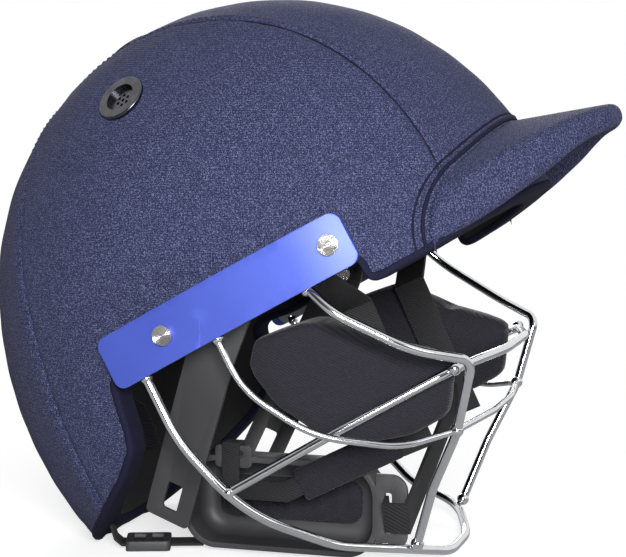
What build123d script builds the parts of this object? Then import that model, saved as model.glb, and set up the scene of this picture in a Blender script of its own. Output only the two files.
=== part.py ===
from build123d import *
import os
from math import atan, atan2, cos, degrees, hypot, radians, sin, sqrt, tan

os.makedirs("parts", exist_ok=True)

# The helmet stands tipped back, as it is put down on a table: it rests on its nape rim and on the lowest
# wire of its face guard. +X is the wearer's front, +Y the wearer's left, +Z up, and the table is at zero.
# Side-view places are shares of the dome's radius forward of its centre, and of its centre's height.

# Dome: an oval cross-section turned about a cross axis, with a longer arc down the nape
dome_radius = 132.0
half_width = 104.0
crown_arc_radius = 102.0
nape_radius = 168.0
dome_height = 115.0
peak_reach = 155.0

# Layers, from the outside in
layer_gap = 0.2
cover_thickness = 1.4
shell_thickness = 3.2
liner_thickness = 9.0
liner_strip_width = 104.0
liner_front_lean = 75.0
liner_rear_lean = 150.0
pad_thickness = 6.0
crown_pad_length = 96.0
crown_pad_width = 62.0
brow_pad_width = 104.0
brow_pad_height = 22.0
brow_pad_rise_share = 0.47
rear_pad_width = 84.0
rear_pad_height = 34.0
rear_pad_height_share = 0.4
side_pad_length = 92.0
side_pad_height = 24.0
side_pad_above_line = 40.0
pad_corner = 10.0
hem_width = 2.4
overrun = 60.0

# Peak
peak_slope = 10.2
peak_rise = 81.0
peak_arch_radius = 136.0
peak_shoulder_radius = 35.0
peak_shoulder_lean = 26.5
peak_thickness = 11.0
peak_wall = 2.7
peak_nose_radius = 5.0
peak_nose_share = 0.85
peak_foot_drop = 14.0
peak_under_flat = 20.0
peak_under_fall = 38.5
peak_under_bend = 60.0
peak_shares = [(-0.82, 0.86), (-0.58, 0.80), (-0.36, 0.615), (-0.16, 0.385), (-0.02, 0.135)]
peak_bend_shares = (0.4545, 1.13, 0.83, 0.2, 0.165)
piping_size = 2.0

# Cover seams
centre_seam_front = 67.0
centre_seam_back = 15.0
centre_seam_front_share = 0.72
back_seam_half_width = 87.0
back_seam_half_height = 135.0
back_seam_middle = 72.0

# Vents
vent_lean = 118.3
vent_lean_centre = 123.4
vent_spread = 74.6
vent_bore = 8.2
vent_flange_radius = 11.0
vent_flange_thickness = 1.6
vent_barrel_wall = 1.2
vent_grille_thickness = 1.4
vent_slot_radius = 5.6
vent_slot_width = 1.7
vent_slot_turn = 34.0
vent_hole_circle = 2.6
vent_hole_radius = 0.75
vent_count = 6
vent_nut_radius = 9.6
vent_nut_thickness = 1.6

# Side plates, their steel mounting strips and their screws
plate_length = 117.0
plate_width = 23.0
plate_corner = 4.5
plate_angle = 29.2
plate_thickness = 2.6
plate_shift = -3.5
plate_middle_shares = (0.090, 1.064)
strip_length = 108.0
strip_width = 17.0
strip_corner = 3.0
strip_drop = 2.7
strip_thickness = 1.5
strip_gap = 0.3
screw_rear = 31.6
screw_front = 45.0
screw_radius = 2.1
screw_head_radius = 4.25
screw_head_height = 1.7
screw_cone_height = 0.6
screw_clearance = 0.25
nut_flange_radius = 5.0
nut_flange_thickness = 1.2
nut_wall = 1.1
nut_clearance = 0.2
rim_below_plate_line = 8.6
rim_front_corner_share = 0.45
rim_rear_corner_share = 0.40

# Face guard
wire_radius = 2.0
thin_wire_radius = 1.45
wire_end_below_line = 9.3
lower_end = -51.0
thin_end = -14.0
upright_end = 29.0
weld_radius = 2.9
strip_weld_radius = 2.6
strip_weld_below_line = 11.7
wire_seat_gap = 0.2

# Cheek pads
cheek_gap = 0.4
cheek_inner = 57.0
cheek_inner_front = 50.0
cheek_plan_bends = (60.0, 50.0)

# Hanger tabs
tab_width = 21.0
tab_thickness = 2.0
tab_length = 103.5
tab_straight = 20.0
tab_angle = 21.5
tab_pivot_along = -10.9
tab_pivot_below_line = 3.3
tab_top_share = 0.84
tab_low_share = 0.59
tab_slot_width = 7.0
tab_slot_length = 13.5
tab_slot_from_end = 12.5
tab_corner = 2.5
rivet_radius = 2.5
rivet_head_radius = 5.0
rivet_head_thickness = 1.5
rivet_edge = 0.6
rivet_play = 0.08
rivet_clearance = 0.06
tab_clearance = 0.3

# Chin harness
strap_width = 15.0
strap_thickness = 1.6
strap_plane = 47.0
strap_gap = 0.5
harness_pivot_along = 30.0
harness_pivot_below_line = 1.0
strap_turn_drop = 8.0
strap_knee_drop = 24.0
sleeve_start_share = (0.561, 0.52)
sleeve_strap_share = 0.6
sleeve_width = 15.0
sleeve_thickness = 5.0
sleeve_length = 64.0
sleeve_angle = 27.0
sleeve_edge = 2.2
cup_share = 0.098
cup_length = 90.0
cup_height = 42.0
cup_depth = 22.0
cup_wall = 2.4
cup_corner = 15.0
cup_edge = 9.0
cup_pad_thickness = 4.0
cup_bar = 2.0
cup_pad_ribs = 9
cup_pad_rib_height = 1.2
cup_pad_rib_share = 0.3
cup_pad_rib_length_share = 0.7
cup_loop_inset = 23.5
cup_belt_width = 15.0
cup_belt_turn = 4.5
cup_belt_angle = 22.0
cup_frame_length = 13.0
cup_frame_height = 34.0
cup_frame_slot_width = 3.4
cup_frame_slot_height = 18.0
cup_loop_width = 17.0
cup_loop_height = 10.0
cup_loop_slot_width = 9.0
cup_loop_slot_height = 3.2
cup_ground_gap = 2.6

# Rear strap and its ladder lock
rear_strap_width = 12.0
rear_strap_thickness = 1.2
rear_strap_run = 38.0
rear_strap_share = (-0.47, -0.452)
rear_strap_angle = 18.8
rear_strap_rise = 19.55
rear_strap_start_share = -0.5
rear_strap_bend_share = -0.15
rear_strap_rest_share = 0.1
lock_length = 20.0
lock_width = 18.0
lock_thickness = 4.4
lock_window_length = 5.4
lock_clearance = 0.35
lock_from_bend = 3.0
lock_corner = 2.0

# Worked out from the sizes above
dome_x = (dome_radius - peak_reach) / 2
dome_centre = (dome_x, 0, dome_height)
nape_x = dome_x + nape_radius - dome_radius
nape_centre = (nape_x, 0, dome_height)
crown_hub = dome_radius - crown_arc_radius
side_arc_radius = (crown_hub**2 + half_width**2 - crown_arc_radius**2) / (2 * (half_width - crown_arc_radius))
side_hub = side_arc_radius - half_width
section_lean = degrees(atan2(crown_hub, side_hub))
side_arc_reach = side_arc_radius * sin(radians(section_lean))
half_turn = 180.0
base_align = (Align.CENTER, Align.CENTER, Align.MIN)
quarter_turn = 90.0

shell_depth = cover_thickness + layer_gap
liner_depth = shell_depth + shell_thickness + layer_gap
lining_depth = liner_depth + liner_thickness
pad_depth = lining_depth + layer_gap

cross_reach = half_width + overrun
side_view = Plane.XZ.offset(-cross_reach)
section_plane = Plane(origin=dome_centre, x_dir=(0, 1, 0), z_dir=(0, 0, 1))


def place(forward_share, height_share):
    """A side-view place, from its shares of the dome's radius and of its centre's height."""
    return dome_x + forward_share * dome_radius, height_share * dome_height


def wall_hub(x, z):
    """The centre in side view that the wall turns about at a place, and how far the section is pushed out."""
    if z < dome_height and x < dome_x:
        return nape_x, nape_radius - dome_radius
    return dome_x, 0


def wall_place(x, z, depth, side):
    """The point of the wall at a side-view place, and the wall's outward normal there."""
    hub_x, push = wall_hub(x, z)
    radial = Vector(x - hub_x, 0, z - dome_height)
    reach = radial.length - push
    outward = radial.normalized()
    if reach < side_arc_reach:
        across = sqrt((side_arc_radius - depth) ** 2 - reach**2)
        normal = outward * reach + Vector(0, side * across, 0)
        y = across - side_hub
    else:
        across = sqrt((crown_arc_radius - depth) ** 2 - (reach - crown_hub) ** 2)
        normal = outward * (reach - crown_hub) + Vector(0, side * across, 0)
        y = across
    return Vector(x, side * y, z), normal.normalized()


def wall_plane(x, z, depth, side):
    """A plane on the wall, with its Z axis straight out of it."""
    point, normal = wall_place(x, z, depth, side)
    return Plane(origin=point, z_dir=normal)


def section_face(depth):
    """The whole cross-section inside one depth, as a half oval on the section's plane."""
    with BuildSketch(section_plane) as section:
        with BuildLine():
            CenterArc((-side_hub, 0), side_arc_radius - depth, 0, section_lean)
            crown_sweep = half_turn - 2 * section_lean
            CenterArc((0, crown_hub), crown_arc_radius - depth, section_lean, crown_sweep)
            CenterArc((side_hub, 0), side_arc_radius - depth, half_turn - section_lean, section_lean)
            Line((depth - half_width, 0), (half_width - depth, 0))
        make_face()
    return section.sketch


def dome_wall(outside, inside=None):
    """The layer of the dome and nape between two depths, or the whole form inside one depth."""
    face = section_face(outside)
    if inside is not None:
        face = face - section_face(inside)
    behind = Plane.YZ.offset(dome_x)
    with BuildPart() as nape:
        nape_swing = degrees(atan(dome_height / sqrt(nape_radius**2 - dome_height**2)))
        revolve(face, axis=Axis(nape_centre, (0, -1, 0)), revolution_arc=nape_swing + quarter_turn / 6)
        split(bisect_by=behind, keep=Keep.BOTTOM)
    with BuildPart() as wall:
        revolve(face, axis=Axis(dome_centre, (0, 1, 0)), revolution_arc=half_turn + quarter_turn)
        add(nape.part)
    return wall.part


def side_prism(sketch):
    """A side-view face carried right across the helmet."""
    with BuildPart() as prism:
        extrude(to_extrude=sketch.face(), amount=cross_reach * 2, dir=(0, -1, 0))
    return prism.part


# Plate line: the screws' line along each side plate, in side view
plate_middle = place(*plate_middle_shares)
plate_along = Vector(cos(radians(plate_angle)), 0, sin(radians(plate_angle)))
plate_up = Vector(-sin(radians(plate_angle)), 0, cos(radians(plate_angle)))


def by_plate(along, up):
    """A side-view place given along the plate's line and up from it."""
    spot = Vector(plate_middle[0], 0, plate_middle[1]) + plate_along * along + plate_up * up
    return spot.X, spot.Z


# Rim: brow, temple, the cut-out behind the side plate, ear bulge and nape, then round below the table
rim_shares = [(1.30, 1.65), (0.95, 1.443), (0.675, 1.230), (0.508, 1.113)]
ear_shares = [(-0.311, 0.748), (-0.261, 0.557), (-0.252, 0.480), (-0.304, 0.356)]
ear_shares += [(-0.440, 0.157), (-0.576, 0.0)]
rim_points = [place(*share) for share in rim_shares]
rim_points.append(by_plate(plate_length * rim_front_corner_share, -rim_below_plate_line))
rim_points.append(by_plate(-plate_length * rim_rear_corner_share, -rim_below_plate_line))
rim_points += [place(*share) for share in ear_shares]
rim_points.append((dome_x - dome_radius - overrun, 0))
rim_points.append((dome_x - dome_radius - overrun, -overrun))
rim_points.append((dome_x + dome_radius + overrun, -overrun))
rim_points.append((dome_x + dome_radius + overrun, dome_height * 1.5))
rim_bend = hem_width * 2
rim_bends = [rim_bend, rim_bend, rim_bend * 2, rim_bend, rim_bend, rim_bend, rim_bend, rim_bend, rim_bend / 2]
rim_bends += [rim_bend * 2, rim_bend * 4, 0, 0, 0, 0, 0]


def below_rim(margin):
    """All that lies below the rim's line, or within a margin above it."""
    with BuildSketch(side_view) as region:
        with BuildLine():
            FilletPolyline(*rim_points, radius=rim_bends, close=True)
        make_face()
        if margin:
            offset(amount=margin)
    return side_prism(region.sketch)


rim_line = below_rim(0)
hem_line = below_rim(hem_width)
layer_line = below_rim(hem_width + layer_gap)

# Peak: an arched slab that runs out of the brow, cut to a rounded outline
peak_out = Vector(cos(radians(peak_slope)), 0, sin(radians(peak_slope)))
peak_normal = Vector(-sin(radians(peak_slope)), 0, cos(radians(peak_slope)))
peak_tip = Vector(dome_x + peak_reach, 0, dome_height + peak_rise)
peak_tip_plane = Plane(origin=peak_tip, x_dir=(0, 1, 0), z_dir=peak_out)
peak_plan_plane = Plane(origin=peak_tip, x_dir=peak_out, z_dir=peak_normal)


def arch_face(inset, drop=layer_gap):
    """All that lies under the peak's arch, drawn in by an inset, to a drop below its shoulders."""
    hub = peak_thickness / 2 - peak_arch_radius
    hub_reach = peak_arch_radius - peak_shoulder_radius
    across = hub_reach * sin(radians(peak_shoulder_lean))
    foot = hub + hub_reach * cos(radians(peak_shoulder_lean))
    rise = quarter_turn - peak_shoulder_lean
    half = across + peak_shoulder_radius - inset
    with BuildSketch(peak_tip_plane) as arch:
        with BuildLine():
            CenterArc((0, hub), peak_arch_radius - inset, rise, peak_shoulder_lean * 2)
            CenterArc((across, foot), peak_shoulder_radius - inset, 0, rise)
            CenterArc((-across, foot), peak_shoulder_radius - inset, half_turn - rise, rise)
            Polyline((half, foot), (half, foot - drop), (-half, foot - drop), (-half, foot))
        make_face()
    return arch.sketch


def under_face(rise):
    """All that lies under the peak's lower face, which is flat in the middle and falls to the sides."""
    side = (peak_arch_radius - peak_shoulder_radius) * sin(radians(peak_shoulder_lean)) + peak_shoulder_radius
    wide = side + peak_thickness
    top = -peak_thickness / 2
    low = top - peak_under_fall * (wide - peak_under_flat) / (side - peak_under_flat)
    bottom = low - peak_thickness
    with BuildSketch(peak_tip_plane) as under:
        with BuildLine():
            right_half = [(peak_under_flat, top), (wide, low), (wide, bottom)]
            left_half = [(-across, height) for across, height in reversed(right_half)]
            under_bends = [0, 0, peak_under_bend, peak_under_bend, 0, 0]
            FilletPolyline(*left_half, *right_half, radius=under_bends, close=True)
        make_face()
        if rise:
            offset(amount=rise)
    return under.sketch


def peak_slab(inset):
    """The peak's form, drawn in on every side by an inset."""
    outline = [((along * dome_radius) - inset, across * half_width - inset) for along, across in peak_shares]
    other_side = [(along, -across) for along, across in reversed(outline)]
    corners = [share * dome_radius for share in peak_bend_shares]
    bends = [0, *corners[:-1], corners[-1], *reversed(corners[:-1]), 0]
    section = arch_face(inset, peak_foot_drop) - under_face(inset)
    with BuildPart() as slab:
        extrude(to_extrude=section.face(), amount=dome_radius, dir=-peak_out)
        with BuildSketch(peak_plan_plane):
            with BuildLine():
                FilletPolyline(*outline, (-inset, 0), *other_side, radius=bends, close=True)
            make_face()
        extrude(amount=dome_radius, both=True, mode=Mode.INTERSECT)
    return slab.part


def under_peak(margin):
    """The space under the peak's core, from its tip back into the dome, drawn in by a margin."""
    section = arch_face(peak_wall + margin, peak_foot_drop - margin) & under_face(peak_wall - margin)
    with BuildPart() as space:
        extrude(to_extrude=section.face(), amount=dome_radius, dir=-peak_out)
    return space.part


dome_form = dome_wall(-layer_gap)
nose_from = dome_x + dome_radius * peak_nose_share
with BuildPart() as peak_outer:
    add(peak_slab(0))
    front_edges = peak_outer.edges().filter_by(lambda edge: edge.center().X > nose_from)
    fillet(front_edges, radius=peak_nose_radius)

with BuildPart() as peak_cover:
    add(peak_outer.part)
    add(peak_slab(peak_wall), mode=Mode.SUBTRACT)
    add(dome_form, mode=Mode.SUBTRACT)

# Vents: where the three eyelets sit, one on the centre plane and one on each side
vent_reach = crown_hub + sqrt(crown_arc_radius**2 - vent_spread**2)
vent_x = dome_x + vent_reach * cos(radians(vent_lean))
vent_z = dome_height + vent_reach * sin(radians(vent_lean))
centre_normal = Vector(cos(radians(vent_lean_centre)), 0, sin(radians(vent_lean_centre)))
centre_vent_x = dome_x + dome_radius * centre_normal.X
centre_vent_z = dome_height + dome_radius * centre_normal.Z
vent_planes = [Plane(origin=(centre_vent_x, 0, centre_vent_z), z_dir=centre_normal)]
vent_planes += [wall_plane(vent_x, vent_z, 0, side) for side in (-1, 1)]
vent_holes = []
for spot in vent_planes:
    with BuildPart() as vent_hole:
        with BuildSketch(spot):
            Circle(vent_bore)
        extrude(amount=overrun / 2, both=True)
    vent_holes.append(vent_hole.part)

# Screws of the side plates
screw_places = [by_plate(-screw_rear, 0), by_plate(screw_front, 0)]
plate_depth = -(strip_gap * 2 + strip_thickness)
screw_holes = []
for side in (-1, 1):
    for x, z in screw_places:
        with BuildPart() as screw_hole:
            with BuildSketch(wall_plane(x, z, 0, side)):
                Circle(screw_radius + nut_wall + nut_clearance)
            extrude(amount=liner_depth * 1.2, both=True)
        screw_holes.append(screw_hole.part)


def layer(outside, inside):
    """A layer of the helmet, cut to the rim."""
    with BuildPart() as sheet:
        add(dome_wall(outside, inside))
        add(layer_line, mode=Mode.SUBTRACT)
        for hole in vent_holes:
            add(hole, mode=Mode.SUBTRACT)
    return sheet.part


# Hard shell, with its peak moulded on
with BuildPart() as hard_shell:
    add(layer(shell_depth, shell_depth + shell_thickness))
    with BuildPart(mode=Mode.PRIVATE) as peak_core:
        add(peak_slab(peak_wall + layer_gap))
        add(dome_wall(shell_depth + shell_thickness / 2), mode=Mode.SUBTRACT)
        add(layer_line, mode=Mode.SUBTRACT)
    add(peak_core.part)
    for hole in screw_holes:
        add(hole, mode=Mode.SUBTRACT)

# Fabric cover: a centre panel, two side panels and a back panel, sewn to each other
cover_sheet = layer(0, cover_thickness)
with BuildPart() as cover_body:
    add(cover_sheet)
    add(peak_slab(peak_wall), mode=Mode.SUBTRACT)
    for hole in screw_holes:
        add(hole, mode=Mode.SUBTRACT)


def centre_wedge(margin):
    """The centre panel's region, seen from above, widened by a margin."""
    front = dome_radius * centre_seam_front_share
    slope = (centre_seam_front - centre_seam_back) / (front + dome_radius)
    reach = dome_radius + overrun
    wide = centre_seam_front + (reach - front) * slope + margin
    narrow = centre_seam_back - overrun * slope + margin
    with BuildPart() as wedge:
        with BuildSketch(Plane.XY.offset(dome_height)):
            with BuildLine():
                corners = [(dome_x - reach, -narrow), (dome_x + reach, -wide), (dome_x + reach, wide)]
                Polyline(*corners, (dome_x - reach, narrow), close=True)
            make_face()
        extrude(amount=dome_radius * 2)
    return wedge.part


def back_region(margin):
    """The back panel's region, seen from behind, widened by a margin."""
    with BuildPart() as region:
        with BuildSketch(Plane.YZ.offset(dome_x - crown_hub)):
            with Locations((0, back_seam_middle)):
                Ellipse(back_seam_half_width + margin, back_seam_half_height + margin)
        extrude(amount=-dome_radius - overrun)
    return region.part


seam_half = layer_gap / 2

# Piping round the root of the peak
with BuildPart() as peak_piping:
    piping_section = arch_face(-piping_size - layer_gap) - arch_face(-layer_gap)
    extrude(to_extrude=piping_section.face(), amount=dome_radius, dir=-peak_out)
    add(dome_wall(-piping_size - layer_gap, -layer_gap), mode=Mode.INTERSECT)
    add(below_rim(hem_width * 2), mode=Mode.SUBTRACT)

# Rim binding: the cover's hem, turned over the edge of the shell and liner
with BuildPart() as rim_binding:
    add(dome_wall(0, lining_depth))
    add(hem_line, mode=Mode.INTERSECT)
    add(rim_line, mode=Mode.SUBTRACT)

# Impact liner
with BuildPart() as impact_liner:
    add(layer(liner_depth, lining_depth))
    for side in (-1, 1):
        for x, z in screw_places:
            with Locations(wall_plane(x, z, 0, side).offset(-liner_depth)):
                Cylinder(nut_flange_radius + nut_clearance, nut_flange_thickness * 4, mode=Mode.SUBTRACT)


def finish(name, solid):
    """Names a finished piece and writes it."""
    solid.label = name
    export_step(solid, f"parts/{name}.step")
    print(name, len(solid.solids()), round(solid.volume))


def half_prism(sketch, side):
    """A side-view face carried out from the middle to one side."""
    with BuildPart() as prism:
        extrude(to_extrude=sketch.face(), amount=cross_reach, dir=(0, side, 0))
    return prism.part


def rounded_window(plane, middle, length, height, corner, turn=0.0):
    """A rounded rectangle on a plane."""
    with BuildSketch(plane) as window:
        with Locations(Location((*middle, 0), (0, 0, turn))):
            RectangleRounded(length, height, corner)
    return window.sketch


def post(plane, radius, start, end):
    """A round bar along a plane's axis, between two heights over the plane."""
    with BuildPart() as bar:
        with Locations(plane.offset(start)):
            Cylinder(radius, end - start, align=base_align)
    return bar.part


# Cover: the brow's strip lies below the peak, and the rest lies above it
with BuildPart() as cover_brow:
    add(cover_body.part)
    add(under_peak(layer_gap), mode=Mode.INTERSECT)
with BuildPart() as cover_crown:
    add(cover_body.part)
    add(under_peak(0), mode=Mode.SUBTRACT)
with BuildPart() as cover_back_panel:
    add(cover_crown.part)
    add(back_region(-seam_half), mode=Mode.INTERSECT)
with BuildPart() as cover_centre_panel:
    add(cover_crown.part)
    add(centre_wedge(-seam_half), mode=Mode.INTERSECT)
    add(back_region(seam_half), mode=Mode.SUBTRACT)
with BuildPart() as cover_sides:
    add(cover_crown.part)
    add(back_region(seam_half), mode=Mode.SUBTRACT)
    add(centre_wedge(seam_half), mode=Mode.SUBTRACT)
side_panels = cover_sides.solids().sort_by(Axis.Y)
with BuildPart() as cover_side_right:
    add(side_panels[0])
with BuildPart() as cover_side_left:
    add(side_panels[-1])

# Comfort pads on the liner's inside
pad_wall = dome_wall(pad_depth, pad_depth + pad_thickness)


def comfort_pad(window, direction):
    """A soft pad on the liner's inside, cut out by a window carried in one direction."""
    with BuildPart() as pad:
        add(pad_wall)
        with BuildPart(mode=Mode.PRIVATE) as cutter:
            extrude(to_extrude=window.face(), amount=dome_radius + overrun, dir=direction)
        add(cutter.part, mode=Mode.INTERSECT)
    return pad.part


across_plane = Plane.YZ.offset(dome_x)
crown_plane = Plane.XY.offset(dome_height)
crown_window = rounded_window(crown_plane, (dome_x, 0), crown_pad_length, crown_pad_width, pad_corner)
brow_middle = (0, dome_height + dome_radius * brow_pad_rise_share)
brow_window = rounded_window(across_plane, brow_middle, brow_pad_width, brow_pad_height, pad_corner)
rear_middle = (0, dome_height * rear_pad_height_share)
rear_window = rounded_window(across_plane, rear_middle, rear_pad_width, rear_pad_height, pad_corner)
side_spot = by_plate(0, side_pad_above_line)
side_window = rounded_window(Plane.XZ, side_spot, side_pad_length, side_pad_height, pad_corner, plate_angle)
with BuildPart() as crown_pad:
    add(comfort_pad(crown_window, (0, 0, 1)))
with BuildPart() as brow_pad:
    add(comfort_pad(brow_window, (1, 0, 0)))
with BuildPart() as rear_pad:
    add(comfort_pad(rear_window, (-1, 0, 0)))
with BuildPart() as side_pad_right:
    add(comfort_pad(side_window, (0, -1, 0)))
with BuildPart() as side_pad_left:
    add(comfort_pad(side_window, (0, 1, 0)))

# Vent eyelets, each a flange and a barrel with a pierced disc, and the rings on their inner ends
barrel_radius = vent_bore - layer_gap
ring_drop = lining_depth + vent_nut_radius**2 / (2 * (crown_arc_radius - lining_depth)) + layer_gap
with BuildPart() as vent_eyelets:
    for spot in vent_planes:
        with Locations(spot):
            Cylinder(vent_flange_radius, vent_flange_thickness * 2)
    add(dome_form, mode=Mode.SUBTRACT)
    flange_rims = vent_eyelets.edges().filter_by(GeomType.CIRCLE)
    fillet(flange_rims, radius=vent_flange_thickness / 2)
    for spot in vent_planes:
        add(post(spot, barrel_radius, -ring_drop - vent_nut_thickness * 1.5, vent_flange_thickness / 2))
    for spot in vent_planes:
        well_floor = -vent_grille_thickness / 2
        bore_radius = barrel_radius - vent_barrel_wall
        add(post(spot, bore_radius, well_floor, vent_flange_thickness * 2), mode=Mode.SUBTRACT)
        add(post(spot, bore_radius, -overrun / 2, well_floor - vent_grille_thickness), mode=Mode.SUBTRACT)
        with BuildSketch(spot.offset(vent_flange_thickness)):
            with PolarLocations(0, vent_count):
                half_slot = vent_slot_turn / 2
                slot_path = CenterArc((0, 0), vent_slot_radius, -half_slot, vent_slot_turn, mode=Mode.PRIVATE)
                SlotArc(slot_path, vent_slot_width)
            with PolarLocations(vent_hole_circle, vent_count):
                Circle(vent_hole_radius)
            Circle(vent_hole_radius)
        extrude(amount=-vent_flange_thickness * 3, mode=Mode.SUBTRACT)
with BuildPart() as vent_retainers:
    for spot in vent_planes:
        add(post(spot, vent_nut_radius, -ring_drop - vent_nut_thickness, -ring_drop))
    for spot in vent_planes:
        add(post(spot, barrel_radius + layer_gap / 2, -overrun / 2, 0), mode=Mode.SUBTRACT)

# Side plates and their steel strips, laid over the cover
screw_planes = {side: [wall_plane(x, z, 0, side) for x, z in screw_places] for side in (-1, 1)}
strip_wall = dome_wall(-strip_gap - strip_thickness, -strip_gap)
plate_wall = dome_wall(plate_depth - plate_thickness, plate_depth)
plate_spot, strip_spot = by_plate(plate_shift, 0), by_plate(plate_shift, -strip_drop)
plate_face = rounded_window(Plane.XZ, plate_spot, plate_length, plate_width, plate_corner, plate_angle)
strip_face = rounded_window(Plane.XZ, strip_spot, strip_length, strip_width, strip_corner, plate_angle)


def laid_over(wall, window, side):
    """A strip of a wall layer under a side-view window, with its screw holes."""
    with BuildPart() as piece:
        add(wall)
        add(half_prism(window, side), mode=Mode.INTERSECT)
        for plane in screw_planes[side]:
            add(post(plane, screw_radius + screw_clearance, -overrun / 4, overrun / 4), mode=Mode.SUBTRACT)
    return piece.part


with BuildPart() as side_plate_right:
    add(laid_over(plate_wall, plate_face, -1))
with BuildPart() as side_plate_left:
    add(laid_over(plate_wall, plate_face, 1))
with BuildPart() as mount_strip_right:
    add(laid_over(strip_wall, strip_face, -1))
with BuildPart() as mount_strip_left:
    add(laid_over(strip_wall, strip_face, 1))

# Screws with turned, slightly conical heads, and the flanged nuts they reach inside the shell
head_seat = -plate_depth + plate_thickness + layer_gap / 2
nut_seat = -liner_depth - layer_gap / 2
with BuildPart() as plate_screws:
    for plane in screw_planes[-1] + screw_planes[1]:
        add(post(plane, screw_radius, nut_seat - nut_flange_thickness, head_seat + screw_head_height / 2))
        add(post(plane, screw_head_radius, head_seat, head_seat + screw_head_height))
        with Locations(plane.offset(head_seat + screw_head_height)):
            Cone(screw_head_radius, screw_radius / 2, screw_cone_height, align=base_align)
with BuildPart() as plate_nuts:
    for plane in screw_planes[-1] + screw_planes[1]:
        add(post(plane, nut_flange_radius, nut_seat - nut_flange_thickness, nut_seat))
        add(post(plane, screw_radius + nut_wall, nut_seat, -layer_gap))
    for plane in screw_planes[-1] + screw_planes[1]:
        add(post(plane, screw_radius + nut_clearance / 2, -overrun / 4, overrun / 4), mode=Mode.SUBTRACT)

# Face guard: each wire is one rod bent with round corners. A wire that runs right round is drawn from the
# wearer's right side to the middle and mirrored.


def wire_place(shares):
    """A point of the face guard, from its shares of the dome's sizes."""
    forward, across, height = shares
    return Vector(dome_x + forward * dome_radius, across * half_width, height * dome_height)


def strip_end(along, radius, below=wire_end_below_line):
    """Where a wire's end is welded, behind the mounting strip's lower edge."""
    x, z = by_plate(along, -below)
    point, normal = wall_place(x, z, -strip_gap, -1)
    return point - normal * (radius + wire_seat_gap)


def mirrored(point):
    """The same point on the wearer's left side."""
    return Vector(point.X, -point.Y, point.Z)


def rod(points, bends, radius):
    """A round wire along a path with rounded corners."""
    with BuildPart() as wire:
        with BuildLine():
            path = FilletPolyline(*points, radius=bends)
        with BuildSketch(Plane(origin=path @ 0, z_dir=path % 0)):
            Circle(radius)
        sweep(path=path)
    return wire.part


def right_round(half, bends):
    """A whole wire's points and bends, from its right half that ends before the middle."""
    return half + [mirrored(point) for point in reversed(half)], bends + list(reversed(bends))


lower_shares = [(-0.098, -0.974, 0.539), (0.106, -0.923, 0.278), (0.348, -0.644, 0.118)]
lower_shares += [(0.561, -0.438, 0.078), (0.640, -0.163, 0.017)]
lower_bend_shares = (0.55, 0.5, 0.4, 0.35, 0.3)
lower_half = [strip_end(lower_end, wire_radius)] + [wire_place(share) for share in lower_shares[:-1]]
floor_x = dome_x + lower_shares[-1][0] * dome_radius
lower_half.append(Vector(floor_x, lower_shares[-1][1] * half_width, wire_radius))
lower_bends = [share * dome_radius for share in lower_bend_shares]
with BuildPart() as grille_lower_wire:
    add(rod(*right_round(lower_half, lower_bends), wire_radius))

middle_shares = [(0.059, -0.925, 0.351), (0.398, -0.817, 0.584)]
middle_shares += [(0.736, -0.668, 0.804), (0.830, -0.212, 0.826)]
middle_bend_shares = (0.5, 0.14, 0.3)
middle_half = [wire_place(share) for share in middle_shares]
middle_bends = [share * dome_radius for share in middle_bend_shares]
with BuildPart() as grille_middle_wire:
    add(rod(*right_round(middle_half, middle_bends), wire_radius))

thin_shares = [(0.120, -0.976, 0.735), (0.341, -0.933, 0.574), (0.591, -0.798, 0.530)]
thin_shares += [(0.739, -0.635, 0.574), (0.788, -0.192, 0.583)]
thin_bend_shares = (0.3, 0.4, 0.3, 0.1, 0.3)
thin_half = [strip_end(thin_end, thin_wire_radius)] + [wire_place(share) for share in thin_shares]
thin_bends = [share * dome_radius for share in thin_bend_shares]
with BuildPart() as grille_thin_wire:
    add(rod(*right_round(thin_half, thin_bends), thin_wire_radius))

upright_shares = [(0.413, -0.976, 1.022), (0.636, -0.889, 0.893), (0.797, -0.697, 0.840)]
upright_shares += [(0.739, -0.635, 0.565), (0.648, -0.553, 0.339), (0.576, -0.438, 0.100)]
upright_bend_shares = (0.2, 0.3, 0.05, 0.3, 0.3)
upright_points = [strip_end(upright_end, wire_radius)] + [wire_place(share) for share in upright_shares]
upright_bends = [share * dome_radius for share in upright_bend_shares]
with BuildPart() as grille_upright_right:
    add(rod(upright_points, upright_bends, wire_radius))
with BuildPart() as grille_upright_left:
    add(rod([mirrored(point) for point in upright_points], upright_bends, wire_radius))

wire_welds = [middle_half[0], middle_half[2], thin_half[-2], upright_points[-1]]
weld_ends = (lower_end, thin_end, upright_end)
strip_welds = [strip_end(end, wire_radius, strip_weld_below_line) for end in weld_ends]
with BuildPart() as grille_welds:
    for point in wire_welds:
        with Locations(point, mirrored(point)):
            Sphere(weld_radius)
    for point in strip_welds:
        with Locations(point, mirrored(point)):
            Sphere(strip_weld_radius)

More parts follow.
